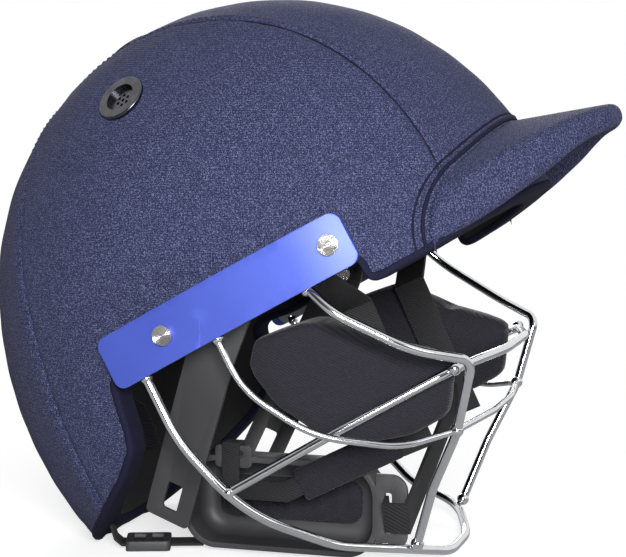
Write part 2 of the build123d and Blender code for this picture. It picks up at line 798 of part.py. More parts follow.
# Cheek pads
cheek_shares = [(0.114, 0.900), (0.288, 0.975), (0.356, 0.939), (0.500, 0.885), (0.644, 0.860)]
cheek_shares += [(0.725, 0.835), (0.705, 0.620), (0.591, 0.543), (0.455, 0.522), (0.348, 0.539)]
cheek_shares += [(0.189, 0.661), (0.098, 0.791)]
cheek_bend_shares = (0.02, 0.05, 0.1, 0.1, 0.1, 0.02, 0.05, 0.1, 0.1, 0.1, 0.1, 0.06)
cheek_bends = [share * dome_radius for share in cheek_bend_shares]
cheek_top_shares = [(-0.2, 0.865), (0.24, 0.855), (0.44, 0.765), (0.8, 0.565)]
with BuildSketch(Plane.XZ) as cheek_outline:
    with BuildLine():
        FilletPolyline(*[place(*share) for share in cheek_shares], radius=cheek_bends, close=True)
    make_face()
with BuildSketch(Plane.XY) as cheek_plan:
    with BuildLine():
        outer_line = [(dome_x + x * dome_radius, -y * half_width) for x, y in cheek_top_shares]
        inner_line = [(outer_line[-1][0], -cheek_inner_front), (outer_line[0][0], -cheek_inner)]
        FilletPolyline(*outer_line, *inner_line, radius=[0, *cheek_plan_bends, 0, 0, 0], close=True)
    make_face()
lining_block = dome_wall(-layer_gap, lining_depth + cheek_gap) - below_rim(-cheek_gap)
with BuildPart() as cheek_pad_right:
    add(half_prism(cheek_outline.sketch, -1))
    with BuildPart(mode=Mode.PRIVATE) as cheek_column:
        extrude(to_extrude=cheek_plan.sketch.face(), amount=dome_height * 2, dir=(0, 0, 1))
    add(cheek_column.part, mode=Mode.INTERSECT)
    add(lining_block, mode=Mode.SUBTRACT)
with BuildPart() as cheek_pad_left:
    add(mirror(cheek_pad_right.part, about=Plane.XZ))

# Hanger tabs: a slotted strip down the inside of the ear, on a rivet
tab_turn = radians(tab_angle)
tab_down = Vector(-sin(tab_turn), 0, -cos(tab_turn))
tab_across = Vector(cos(tab_turn), 0, -sin(tab_turn))
tab_pivot = by_plate(tab_pivot_along, -tab_pivot_below_line)
tab_top_y = half_width * tab_top_share
tab_low_y = half_width * tab_low_share
tab_origin = Vector(tab_pivot[0], 0, tab_pivot[1])
tab_plane = Plane(origin=tab_origin - tab_across * (tab_width / 2), x_dir=tab_down, z_dir=tab_across)
tab_face_plane = Plane(origin=tab_origin, x_dir=tab_across, z_dir=(0, -1, 0))
with BuildPart() as hanger_tab_right:
    with BuildSketch(tab_plane):
        with BuildLine():
            run = [(-tab_width, -tab_top_y), (tab_straight, -tab_top_y), (tab_length, -tab_low_y)]
            inner = [(down, across + tab_thickness) for down, across in reversed(run)]
            Polyline(*run, *inner, close=True)
        make_face()
    extrude(amount=tab_width)
    with BuildSketch(tab_face_plane) as tab_outline:
        with Locations((0, -tab_length / 2)):
            Rectangle(tab_width, tab_length)
        fillet(tab_outline.vertices().sort_by(Axis.Z)[:2], radius=tab_corner)
        Circle(tab_width / 2)
    extrude(amount=cross_reach, mode=Mode.INTERSECT)
    with BuildSketch(tab_face_plane):
        with Locations((0, -tab_length + tab_slot_from_end)):
            RectangleRounded(tab_slot_width, tab_slot_length, tab_corner / 2)
        Circle(rivet_radius + rivet_play)
    extrude(amount=cross_reach, mode=Mode.SUBTRACT)
with BuildPart() as hanger_tab_left:
    add(mirror(hanger_tab_right.part, about=Plane.XZ))

# Chin harness: two straps that swing on rivets inside the temples, a padded sleeve and a slotted cup
harness_pivot = by_plate(harness_pivot_along, -harness_pivot_below_line)
harness_origin = Vector(harness_pivot[0], 0, harness_pivot[1])
strap_end = harness_origin - Vector(*dome_centre)
strap_end = strap_end + strap_end.normalized() * strap_width / 2
strap_end_x, strap_end_z = dome_x + strap_end.X, dome_height + strap_end.Z
anchor_point, anchor_normal = wall_place(strap_end_x, strap_end_z, lining_depth + cheek_gap, 1)
strap_out = anchor_point.Y - strap_thickness / 2
sleeve_start = place(*sleeve_start_share)
strap_lean = atan2(sleeve_start[0] - harness_pivot[0], harness_pivot[1] - sleeve_start[1])
strap_fore = Vector(cos(strap_lean), 0, sin(strap_lean))
sleeve_run = (-cos(radians(sleeve_angle)), -sin(radians(sleeve_angle)))
sleeve_end_x = sleeve_start[0] + sleeve_run[0] * sleeve_length
sleeve_end = (sleeve_end_x, sleeve_start[1] + sleeve_run[1] * sleeve_length)
strap_front = Plane(origin=harness_origin + strap_fore * (strap_width / 2), x_dir=(0, 1, 0), z_dir=strap_fore)
strap_side = Plane(origin=harness_origin + Vector(0, cross_reach, 0), x_dir=strap_fore, z_dir=(0, -1, 0))


def band(points, thickness):
    """A ribbon's edge view: a line of points thickened to both sides."""
    with BuildSketch() as ribbon:
        with BuildLine():
            Polyline(*points)
        trace(line_width=thickness)
    return ribbon.sketch


def strap_run(height):
    """How far down the slanted strap a height over the table is."""
    return (harness_pivot[1] - height) / cos(strap_lean)


def upper_strap(side, length):
    """The strap from its rivet, over the cheek pad and down beside the face."""
    course = [(side * strap_out, strap_width / 2), (side * strap_out, -strap_turn_drop)]
    course += [(side * strap_plane, -strap_knee_drop), (side * strap_plane, -length)]
    with BuildPart() as strap:
        ribbon = strap_front * band(course, strap_thickness)
        for face in ribbon.faces():
            extrude(to_extrude=face, amount=strap_width, dir=-strap_fore)
        with BuildSketch(strap_side):
            with Locations((0, -length / 2)):
                RectangleRounded(strap_width, length + strap_width, strap_width / 2 - strap_gap)
        extrude(amount=cross_reach * 2, mode=Mode.INTERSECT)
        with Locations(Plane(origin=harness_origin, z_dir=(0, side, 0))):
            Cylinder(rivet_radius + rivet_play, cross_reach, align=base_align, mode=Mode.SUBTRACT)
    return strap.part


strap_face = Plane.XZ.offset(strap_plane - strap_thickness / 2)
cup_x = dome_x + dome_radius * cup_share
cup_z = cup_ground_gap + cup_height / 2
cup_mouth = strap_plane - sleeve_thickness / 2 - strap_gap
loop_x = cup_x - cup_length / 2 + cup_loop_inset
loop_z = cup_z + cup_height / 2
fold_top = loop_z + (cup_loop_height + strap_thickness + strap_gap) / 2
with BuildPart() as chin_strap_right:
    add(upper_strap(-1, strap_run(sleeve_start[1]) + strap_width / 2))
    course = [sleeve_start, sleeve_end, (loop_x, sleeve_end[1])]
    ribbon = strap_face * band(course, strap_width * sleeve_strap_share)
    for face in ribbon.faces():
        extrude(to_extrude=face, amount=strap_thickness, dir=(0, -1, 0))
    tail_low = sleeve_end[1] - strap_width * sleeve_strap_share / 2
    fold = [(-strap_plane, tail_low), (-strap_plane, fold_top)]
    fold += [(-cup_mouth + cup_wall + strap_thickness, fold_top)]
    fold += [(-cup_mouth + cup_wall + strap_thickness, loop_z + strap_thickness)]
    ribbon = Plane.YZ.offset(loop_x + cup_loop_slot_width / 2 - strap_gap) * band(fold, strap_thickness)
    for face in ribbon.faces():
        extrude(to_extrude=face, amount=cup_loop_slot_width - strap_gap * 2, dir=(-1, 0, 0))
with BuildPart() as strap_sleeve:
    sleeve_plane = Plane(origin=(sleeve_start[0], -strap_plane, sleeve_start[1]), x_dir=(0, 1, 0),
                         z_dir=(sleeve_run[0], 0, sleeve_run[1]))
    with BuildSketch(sleeve_plane.offset(strap_width / 2)):
        RectangleRounded(sleeve_thickness, sleeve_width, sleeve_edge)
    extrude(amount=sleeve_length - strap_width)
    add(chin_strap_right.part, mode=Mode.SUBTRACT)
frame_x = cup_x + cup_length / 2 + cup_frame_length / 2
frame_bar_x = frame_x + cup_frame_length / 4
belt_low = cup_z - cup_belt_width / 2
belt_slope = radians(cup_belt_angle)
belt_far = (strap_plane + strap_thickness + cup_mouth) / cos(belt_slope)
belt_normal = (0, -sin(belt_slope), cos(belt_slope))
belt_plane = Plane(origin=(0, -cup_mouth, belt_low), x_dir=(1, 0, 0), z_dir=belt_normal)
with BuildPart() as chin_strap_left:
    belt_run = strap_run(belt_low + belt_far * sin(belt_slope))
    add(upper_strap(1, belt_run))
    belt_start = harness_pivot[0] + belt_run * sin(strap_lean) - strap_width / 2
    belt = [(belt_start, belt_far), (frame_bar_x + cup_belt_turn, belt_far)]
    belt += [(frame_bar_x + cup_belt_turn, -strap_gap * 2), (frame_x - cup_bar, -strap_gap * 2)]
    belt += [(frame_x - cup_bar, cup_wall * 2)]
    ribbon = belt_plane * band(belt, strap_thickness)
    for face in ribbon.faces():
        extrude(to_extrude=face, amount=cup_belt_width, dir=belt_plane.z_dir)

cup_plane = Plane.XZ.offset(cup_mouth)
with BuildPart() as chin_cup:
    with BuildSketch(cup_plane):
        with Locations((cup_x, cup_z)):
            RectangleRounded(cup_length, cup_height, cup_corner)
    extrude(amount=-cup_depth)
    fillet(chin_cup.faces().sort_by(Axis.Y)[-1].edges(), radius=cup_edge)
    offset(amount=-cup_wall, openings=chin_cup.faces().sort_by(Axis.Y)[0])
    with BuildSketch(cup_plane):
        with Locations((frame_x - cup_corner / 2, cup_z)):
            RectangleRounded(cup_frame_length + cup_corner, cup_frame_height, cup_corner / 2)
        with Locations((frame_x - cup_corner, cup_z)):
            Rectangle(cup_corner, cup_frame_height + cup_corner, mode=Mode.SUBTRACT)
        with Locations((loop_x, loop_z)):
            RectangleRounded(cup_loop_width, cup_loop_height, cup_bar)
    extrude(amount=-cup_wall)
    with BuildSketch(cup_plane):
        with Locations((frame_x - cup_bar, cup_z)):
            RectangleRounded(cup_frame_slot_width, cup_frame_slot_height, cup_frame_slot_width / 3)
        with Locations((loop_x, loop_z + cup_bar / 2)):
            RectangleRounded(cup_loop_slot_width, cup_loop_slot_height, cup_loop_slot_height / 3)
    extrude(amount=-cup_wall, mode=Mode.SUBTRACT)
with BuildPart() as chin_cup_pad:
    pad_length = cup_length - cup_wall * 2 - cup_edge * 2
    pad_height = cup_height - cup_wall * 2 - cup_edge * 2
    pad_floor = cup_mouth - cup_depth + cup_wall + layer_gap
    with BuildSketch(Plane.XZ.offset(pad_floor)):
        with Locations((cup_x, cup_z)):
            RectangleRounded(pad_length, pad_height, cup_corner - cup_edge)
    extrude(amount=cup_pad_thickness)
    rib_pitch = pad_length / cup_pad_ribs
    with BuildSketch(Plane.XZ.offset(pad_floor + cup_pad_thickness)):
        with GridLocations(rib_pitch, 1, cup_pad_ribs, 1):
            with Locations((cup_x, cup_z)):
                Rectangle(rib_pitch * cup_pad_rib_share, pad_height * cup_pad_rib_length_share)
    extrude(amount=cup_pad_rib_height)

# Rivets: each harness strap and each tab turns on one, set in the shell through the liner
def rivet(pivot, inner, side):
    """A rivet on a cross axis: its head is inside the strip, and its end is held in the shell."""
    seat_point, seat_normal = wall_place(pivot[0], pivot[1], shell_depth + shell_thickness / 2, side)
    with BuildPart() as pin:
        with Locations(Plane(origin=(pivot[0], side * inner, pivot[1]), z_dir=(0, side, 0))):
            Cylinder(rivet_radius, abs(seat_point.Y) - inner, align=base_align)
        with Locations(Plane(origin=(pivot[0], side * inner, pivot[1]), z_dir=(0, -side, 0))):
            Cylinder(rivet_head_radius, rivet_head_thickness, align=base_align)
        head_edges = pin.edges().filter_by(lambda e: abs(e.center().Y) < inner - rivet_head_thickness / 2)
        fillet(head_edges, radius=rivet_edge)
    return pin.part


tab_inner = tab_top_y - tab_thickness - tab_clearance
strap_inner = strap_out - strap_thickness / 2 - tab_clearance
with BuildPart() as tab_rivets:
    for side in (-1, 1):
        add(rivet(tab_pivot, tab_inner, side))
with BuildPart() as strap_rivets:
    for side in (-1, 1):
        add(rivet(harness_pivot, strap_inner, side))


def rivet_bore(pivot, side):
    """The hole in the shell and the liner for a rivet."""
    seat_point, seat_normal = wall_place(pivot[0], pivot[1], shell_depth + shell_thickness / 2, side)
    with BuildPart() as bore:
        with Locations(Plane(origin=(pivot[0], 0, pivot[1]), z_dir=(0, side, 0))):
            Cylinder(rivet_radius + rivet_clearance, abs(seat_point.Y) + rivet_clearance, align=base_align)
    return bore.part


rivet_bores = [rivet_bore(pivot, side) for pivot in (tab_pivot, harness_pivot) for side in (-1, 1)]
with BuildPart() as bored_shell:
    add(hard_shell.part)
    for bore in rivet_bores:
        add(bore, mode=Mode.SUBTRACT)
with BuildPart() as bored_liner:
    add(impact_liner.part)
    for bore in rivet_bores:
        add(bore, mode=Mode.SUBTRACT)



def sector(start, end):
    """The side-view space between two angles about the dome's centre, drawn in by half a layer gap."""
    reach = (dome_radius + overrun) * 2
    corners = [(dome_x, dome_height)]
    for angle in (start, (start + end) / 2, end):
        corners.append((dome_x + reach * cos(radians(angle)), dome_height + reach * sin(radians(angle))))
    with BuildSketch(side_view) as space:
        with BuildLine():
            Polyline(*corners, close=True)
        make_face()
        offset(amount=-seam_half)
    return side_prism(space.sketch)


# The liner is five glued foam panels: one strip over the head in three lengths, and one panel on each side
strip_box = Box(dome_radius * 4, liner_strip_width - layer_gap, dome_radius * 4)
with BuildPart() as liner_strip:
    add(bored_liner.part)
    add(strip_box, mode=Mode.INTERSECT)
with BuildPart() as liner_front:
    add(liner_strip.part)
    add(sector(-quarter_turn, liner_front_lean), mode=Mode.INTERSECT)
with BuildPart() as liner_crown:
    add(liner_strip.part)
    add(sector(liner_front_lean, liner_rear_lean), mode=Mode.INTERSECT)
with BuildPart() as liner_rear:
    add(liner_strip.part)
    add(sector(liner_rear_lean, half_turn + quarter_turn), mode=Mode.INTERSECT)
with BuildPart() as liner_sides:
    add(bored_liner.part)
    add(Box(dome_radius * 4, liner_strip_width + layer_gap, dome_radius * 4), mode=Mode.SUBTRACT)
liner_halves = liner_sides.solids().sort_by(Axis.Y)
with BuildPart() as liner_right:
    add(liner_halves[0])
with BuildPart() as liner_left:
    add(liner_halves[-1])

# Rear strap: flat webbing along the table from the inside of the nape, and the lock that slides on it
lock_floor = layer_gap * 2
strap_mid_z = lock_floor + lock_thickness / 2
rear_x = dome_x + dome_radius * rear_strap_share[0]
rear_y = half_width * rear_strap_share[1]
rear_turn = radians(rear_strap_angle)
rear_along = Vector(cos(rear_turn), sin(rear_turn), 0)
rear_side = Vector(sin(rear_turn), -cos(rear_turn), 0)
rear_origin = Vector(rear_x, rear_y, 0) - rear_side * (rear_strap_width / 2)
rear_plane = Plane(origin=rear_origin, x_dir=rear_along, z_dir=rear_side)
with BuildPart() as rear_webbing:
    course = [(rear_strap_width * rear_strap_start_share, rear_strap_rise)]
    course += [(rear_strap_width * rear_strap_bend_share, strap_mid_z * 2)]
    course += [(rear_strap_width * rear_strap_rest_share, strap_mid_z), (rear_strap_run, strap_mid_z)]
    ribbon = rear_plane * band(course, rear_strap_thickness)
    for face in ribbon.faces():
        extrude(to_extrude=face, amount=rear_strap_width, dir=rear_side)
    add(lining_block, mode=Mode.SUBTRACT)
with BuildPart() as rear_strap:
    add(rear_webbing.solids().sort_by(SortBy.VOLUME)[-1])
lock_plane = Plane(origin=(rear_x, rear_y, lock_floor), x_dir=rear_along, z_dir=(0, 0, 1))
lock_middle = lock_from_bend + lock_length / 2
with BuildPart() as ladder_lock:
    with BuildSketch(lock_plane):
        with Locations((lock_middle, 0)):
            RectangleRounded(lock_length, lock_width, lock_corner)
    extrude(amount=lock_thickness)
    channel_width = rear_strap_width + lock_clearance * 2
    channel_height = rear_strap_thickness + lock_clearance * 2
    with Locations(lock_plane * Location((lock_middle, 0, lock_thickness / 2))):
        Box(lock_length * 2, channel_width, channel_height, mode=Mode.SUBTRACT)
    with BuildSketch(lock_plane.offset(lock_thickness / 2)):
        with Locations((lock_middle, 0)):
            with GridLocations(lock_window_length * 1.5, 1, 2, 1):
                Rectangle(lock_window_length, channel_width)
    extrude(amount=lock_thickness, mode=Mode.SUBTRACT)


finish("hard_shell", bored_shell.part)
finish("cover_side_left", cover_side_left.part)
finish("cover_side_right", cover_side_right.part)
finish("cover_centre_panel", cover_centre_panel.part)
finish("cover_back_panel", cover_back_panel.part)
finish("cover_brow", cover_brow.part)
finish("peak_cover", peak_cover.part)
finish("peak_piping", peak_piping.part)
finish("rim_binding", rim_binding.part)
finish("liner_front", liner_front.part)
finish("liner_crown", liner_crown.part)
finish("liner_rear", liner_rear.part)
finish("liner_right", liner_right.part)
finish("liner_left", liner_left.part)
finish("crown_pad", crown_pad.part)
finish("brow_pad", brow_pad.part)
finish("rear_pad", rear_pad.part)
finish("side_pad_left", side_pad_left.part)
finish("side_pad_right", side_pad_right.part)
finish("vent_eyelets", vent_eyelets.part)
finish("vent_retainers", vent_retainers.part)
finish("side_plate_left", side_plate_left.part)
finish("side_plate_right", side_plate_right.part)
finish("mount_strip_left", mount_strip_left.part)
finish("mount_strip_right", mount_strip_right.part)
finish("plate_screws", plate_screws.part)
finish("plate_nuts", plate_nuts.part)
finish("grille_lower_wire", grille_lower_wire.part)
finish("grille_middle_wire", grille_middle_wire.part)
finish("grille_thin_wire", grille_thin_wire.part)
finish("grille_upright_left", grille_upright_left.part)
finish("grille_upright_right", grille_upright_right.part)
finish("grille_welds", grille_welds.part)
finish("cheek_pad_left", cheek_pad_left.part)
finish("cheek_pad_right", cheek_pad_right.part)
finish("hanger_tab_left", hanger_tab_left.part)
finish("hanger_tab_right", hanger_tab_right.part)
finish("tab_rivets", tab_rivets.part)
finish("chin_strap_left", chin_strap_left.part)
finish("chin_strap_right", chin_strap_right.part)
finish("strap_sleeve", strap_sleeve.part)
finish("chin_cup", chin_cup.part)
finish("chin_cup_pad", chin_cup_pad.part)
finish("strap_rivets", strap_rivets.part)
finish("rear_strap", rear_strap.part)
finish("ladder_lock", ladder_lock.part)
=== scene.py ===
import bpy, bmesh, math
import numpy as np
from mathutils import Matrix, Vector


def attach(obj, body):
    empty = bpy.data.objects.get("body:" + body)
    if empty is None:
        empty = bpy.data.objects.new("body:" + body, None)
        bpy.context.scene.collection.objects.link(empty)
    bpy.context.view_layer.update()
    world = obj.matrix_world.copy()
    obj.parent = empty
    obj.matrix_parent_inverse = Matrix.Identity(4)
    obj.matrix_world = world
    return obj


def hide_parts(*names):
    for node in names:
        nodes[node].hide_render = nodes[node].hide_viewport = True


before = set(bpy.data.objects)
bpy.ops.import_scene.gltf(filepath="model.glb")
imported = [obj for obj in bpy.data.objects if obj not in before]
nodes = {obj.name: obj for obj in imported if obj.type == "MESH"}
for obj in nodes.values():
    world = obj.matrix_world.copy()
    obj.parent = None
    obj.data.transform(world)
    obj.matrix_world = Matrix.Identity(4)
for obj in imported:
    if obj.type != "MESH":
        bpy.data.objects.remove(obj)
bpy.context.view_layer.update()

# Lengths on the helmet are in millimetres until a mesh is made, and the studio's are in metres.
mm = 0.001


# Studio: a white paper floor that keeps the helmet's shadow, a white surround that polished metal sees as
# a dim room with one bright side, three soft lamps, and a long lens at the height of the photograph.
class Shade:
    """A value in a material, written with Python's own operators: each adds a Math node. Every other node
    comes from the method node."""
    def __init__(self, tree, socket=None):
        self.tree, self.socket = tree, socket

    def node(self, kind, settings, inputs, output=0):
        made = self.tree.nodes.new("ShaderNode" + kind)
        for key, value in settings.items():
            setattr(made, key, value)
        for key, value in inputs.items():
            if isinstance(value, Shade):
                self.tree.links.new(value.socket, made.inputs[key])
            else:
                made.inputs[key].default_value = value
        return Shade(self.tree, made.outputs[output])

    def math(self, operation, a, b=0.0):
        return self.node("Math", {"operation": operation}, {0: a, 1: b})

    def mix(self, factor, a, b):
        return self.node("Mix", {"data_type": "RGBA"}, {0: factor, 6: a, 7: b}, 2)

    def between(self, low, high):
        """A colour from low to high, as this value goes from 0 to 1."""
        return self.mix(self, (*low, 1), (*high, 1))

    def __add__(self, other): return self.math("ADD", self, other)
    def __radd__(self, other): return self.math("ADD", other, self)
    def __sub__(self, other): return self.math("SUBTRACT", self, other)
    def __rsub__(self, other): return self.math("SUBTRACT", other, self)
    def __mul__(self, other): return self.math("MULTIPLY", self, other)
    def __rmul__(self, other): return self.math("MULTIPLY", other, self)


def finish(name, **plain):
    """A new material, its shader maths, its main shader with the plain values set, and the place on a piece."""
    made = bpy.data.materials.new(name)
    made.use_nodes = True
    main = made.node_tree.nodes["Principled BSDF"]
    for key, value in plain.items():
        main.inputs[key.replace("_", " ")].default_value = (*value, 1) if isinstance(value, tuple) else value
    shade = Shade(made.node_tree)
    return made, shade, main, shade.node("TexCoord", {}, {}, 3)


scene = bpy.context.scene
scene.view_settings.view_transform = "Standard"
world = bpy.data.worlds.new("surround")
scene.world = world
world.use_nodes = True
sky = Shade(world.node_tree)
rays = world.node_tree.nodes.new("ShaderNodeLightPath")
seen, through, glossy = (Shade(sky.tree, rays.outputs[f"Is {kind} Ray"])
                         for kind in ("Camera", "Transmission", "Glossy"))
clear = sky.math("MAXIMUM", seen, through)
toward = sky.node("TexCoord", {}, {}, 0)
apart = sky.node("SeparateXYZ", {}, {0: toward})
side_look, up_look = (Shade(sky.tree, apart.socket.node.outputs[k]) for k in (1, 2))
room = sky.node("MapRange", {"interpolation_type": "SMOOTHSTEP"},
                {"Value": side_look + up_look * 0.9, "From Min": -0.55, "From Max": 0.75,
                 "To Min": 0.05, "To Max": 0.95})
ground = world.node_tree.nodes["Background"]
ground.inputs["Color"].default_value = (1, 1, 1, 1)
ambient = 0.08
strength = ambient + glossy * (room - ambient)
world.node_tree.links.new((strength + clear * (1.0 - strength)).socket, ground.inputs["Strength"])

floor_mesh = bpy.data.meshes.new("floor")
floor_mesh.from_pydata([(-4, -4, 0), (4, -4, 0), (4, 4, 0), (-4, 4, 0)], [], [(0, 1, 2, 3)])
floor = bpy.data.objects.new("floor", floor_mesh)
scene.collection.objects.link(floor)
paper, paper_shade, paper_main, spot = finish("white_paper", Base_Color=(0.55, 0.55, 0.55), Roughness=0.9)
paper_main.inputs["Specular IOR Level"].default_value = 0.0
tree = paper.node_tree
rays = tree.nodes.new("ShaderNodeLightPath")
direct = Shade(tree, rays.outputs["Is Camera Ray"])
away = paper_shade.node("VectorMath", {"operation": "LENGTH"}, {0: spot}, 1)
edge = paper_shade.node("MapRange", {"interpolation_type": "SMOOTHSTEP"},
                        {"Value": away, "From Min": 0.10, "From Max": 0.30})
glow = paper_shade.node("Emission", {}, {"Color": (1, 1, 1, 1), "Strength": 0.66})
lit = tree.nodes.new("ShaderNodeAddShader")
tree.links.new(paper_main.outputs[0], lit.inputs[0])
tree.links.new(glow.socket, lit.inputs[1])
plain = paper_shade.node("Emission", {}, {"Color": (1, 1, 1, 1), "Strength": 1.0})
faded = tree.nodes.new("ShaderNodeMixShader")
tree.links.new(edge.socket, faded.inputs[0])
tree.links.new(lit.outputs[0], faded.inputs[1])
tree.links.new(plain.socket, faded.inputs[2])
shown = tree.nodes.new("ShaderNodeMixShader")
tree.links.new(direct.socket, shown.inputs[0])
tree.links.new(paper_main.outputs[0], shown.inputs[1])
tree.links.new(faded.outputs[0], shown.inputs[2])
tree.links.new(shown.outputs[0], tree.nodes["Material Output"].inputs[0])
floor_mesh.materials.append(paper)


def lamp(name, place, aim, size, power):
    data = bpy.data.lights.new(name, "AREA")
    data.shape, data.size, data.energy = "DISK", size, power
    made = bpy.data.objects.new(name, data)
    made.location = place
    made.rotation_mode = "QUATERNION"
    made.rotation_quaternion = (Vector(aim) - Vector(place)).to_track_quat("-Z", "Y")
    scene.collection.objects.link(made)


lamp("key_lamp", (0.48, -1.22, 0.46), (0, 0, 0.12), 0.45, 26)
lamp("front_lamp", (1.3, -0.5, 0.7), (0, 0, 0.1), 0.6, 1.5)
lamp("back_lamp", (-0.45, 1.3, 0.55), (0, 0, 0.12), 0.6, 12)

azimuth, elevation, distance, aim = math.radians(17), math.radians(6), 850, (3.5, 0, 120.3)
picture_width, focal_length = 626, 1853
back = Vector((math.sin(azimuth) * math.cos(elevation), -math.cos(azimuth) * math.cos(elevation),
               math.sin(elevation)))
camera = bpy.data.objects.new("camera", bpy.data.cameras.new("camera"))
camera.data.sensor_width = 36
camera.data.lens = 36 * focal_length / picture_width
camera.location = (Vector(aim) + back * distance) * mm
camera.rotation_mode = "QUATERNION"
camera.rotation_quaternion = (-back).to_track_quat("-Z", "Y")
scene.collection.objects.link(camera)
scene.camera = camera

# Hard shell: an oval section turned about a cross axis, moulded in one with its peak. Only its inside
# edge shows, but every cloth piece below lies on this form.
def feed(shade, main, **links):
    """Joins worked-out values to the main shader's sockets."""
    for key, value in links.items():
        shade.tree.links.new(value.socket, main.inputs[key.replace("_", " ")])


def bumped(shade, height, distance, strength=1.0):
    return shade.node("Bump", {}, {"Strength": strength, "Distance": distance, "Height": height})


def speckle(shade, where, scale, detail=2.0, rough=0.5):
    return shade.node("TexNoise", {}, {"Vector": where, "Scale": scale, "Detail": detail, "Roughness": rough})


def dress(node, material):
    """Gives a rigid piece that keeps its own form its finish."""
    nodes[node].data.materials.clear()
    nodes[node].data.materials.append(material)


dome_x, dome_z, dome_radius, half_width = -11.5, 115.0, 132.0, 104.0
crown_arc, crown_hub, nape_radius = 102.0, 30.0, 168.0
side_arc = (crown_hub**2 + half_width**2 - crown_arc**2) / (2 * (half_width - crown_arc))
side_reach = side_arc * crown_hub / math.hypot(crown_hub, side_arc - half_width)
nape_x = dome_x + nape_radius - dome_radius


def section(share, depth=0.0):
    """A point of the cross-section: its height from the turning axis and its distance across."""
    lean = math.atan2(crown_hub, side_arc - half_width)
    crown_run = (crown_arc - depth) * (math.pi / 2 - lean)
    run = crown_run + (side_arc - depth) * lean
    along = np.abs(share) * run
    over = np.minimum(along, crown_run) / (crown_arc - depth)
    side = (run - np.maximum(along, crown_run)) / (side_arc - depth)
    on_crown = along <= crown_run
    height = np.where(on_crown, crown_hub + (crown_arc - depth) * np.cos(over),
                      (side_arc - depth) * np.sin(side))
    across = np.where(on_crown, (crown_arc - depth) * np.sin(over),
                      (side_arc - depth) * np.cos(side) - side_arc + half_width)
    return height, across * np.sign(share)


def wall_y(x, z, depth=0.0):
    """How far out the wall is at a side-view place."""
    nape = (z < dome_z) & (x < dome_x)
    reach = np.hypot(x - np.where(nape, nape_x, dome_x), z - dome_z)
    reach = reach - np.where(nape, nape_radius - dome_radius, 0)
    on_side = reach < side_reach
    side = np.sqrt(np.maximum((side_arc - depth) ** 2 - reach**2, 0)) - side_arc + half_width
    crown = np.sqrt(np.maximum((crown_arc - depth) ** 2 - (reach - crown_hub) ** 2, 0))
    return np.where(on_side, side, crown)


def wall_normal(points):
    """The wall's outward direction at points on it."""
    x, y, z = points.T
    nape = (z < dome_z) & (x < dome_x)
    flat = np.stack([x - np.where(nape, nape_x, dome_x), z - dome_z], 1)
    length = np.linalg.norm(flat, axis=1)
    reach = length - np.where(nape, nape_radius - dome_radius, 0)
    out = flat / np.maximum(length, 1e-6)[:, None]
    on_side = reach < side_reach
    across = np.where(on_side, np.abs(y) + side_arc - half_width, np.abs(y)) * np.where(y < 0, -1, 1)
    radial = np.where(on_side, reach, reach - crown_hub)
    normal = np.stack([out[:, 0] * radial, across, out[:, 1] * radial], 1)
    return normal / np.linalg.norm(normal, axis=1)[:, None]


def piece(name, verts, faces, material, body="helmet"):
    """A mesh piece from points in millimetres, riding on a body."""
    data = bpy.data.meshes.new(name)
    data.from_pydata((np.asarray(verts, float) * mm).tolist(), [], [tuple(map(int, f)) for f in faces])
    data.validate()
    data.materials.append(material)
    data.polygons.foreach_set("use_smooth", [True] * len(data.polygons))
    made = bpy.data.objects.new(name, data)
    scene.collection.objects.link(made)
    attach(made, body)
    return made


shell_skin, shade, main, where = finish("shell_skin", Base_Color=(0.02, 0.02, 0.026))
feed(shade, main, Normal=bumped(shade, speckle(shade, where, 900), 0.0002, 0.4),
     Roughness=0.36 + speckle(shade, where, 60) * 0.2)
dress("hard_shell", shell_skin)

# Knitted cover: a wedge over the crown, a panel on each side, a round panel at the back and a strip at
# the brow, sewn edge to edge and pulled tight over the shell, with small puckers where plates press it.
plate_turn, plate_middle = math.radians(29.2), (dome_x + 0.090 * dome_radius, 1.064 * dome_z)
plate_length, rim_below_plate = 117.0, 8.6


def by_plate(x, z):
    """Side-view places measured along the plate's line and up from it."""
    a, b = x - plate_middle[0], z - plate_middle[1]
    return (a * math.cos(plate_turn) + b * math.sin(plate_turn),
            b * math.cos(plate_turn) - a * math.sin(plate_turn))


def from_plate(along, up):
    return (plate_middle[0] + along * math.cos(plate_turn) - up * math.sin(plate_turn),
            plate_middle[1] + along * math.sin(plate_turn) + up * math.cos(plate_turn))


def rounded(corners, bends, step=2.0):
    """A side-view line through corners, each rounded with its own radius."""
    line = [np.array(corners[0], float)]
    for i in range(1, len(corners) - 1):
        a, b, c = (np.array(corners[j], float) for j in (i - 1, i, i + 1))
        u, v = (a - b) / np.linalg.norm(a - b), (c - b) / np.linalg.norm(c - b)
        half = math.acos(max(-1, min(1, float(u @ v)))) / 2
        room_for_bend = 0.48 * min(np.linalg.norm(a - b), np.linalg.norm(c - b))
        cut = min(bends[i] / max(math.tan(half), 1e-6), room_for_bend)
        radius = cut * math.tan(half)
        centre = b + (u + v) / np.linalg.norm(u + v) * math.hypot(cut, radius)
        start, end = b + u * cut - centre, b + v * cut - centre
        sweep = math.pi - 2 * half
        count = max(2, int(math.ceil(sweep * radius / step)) + 2)
        for k in range(count + 1):
            t = k / count
            turned_to = start * math.sin((1 - t) * sweep) + end * math.sin(t * sweep)
            line.append(centre + turned_to / max(math.sin(sweep), 1e-6))
    line.append(np.array(corners[-1], float))
    return np.array(line)


def share_place(x, z):
    return dome_x + x * dome_radius, z * dome_z


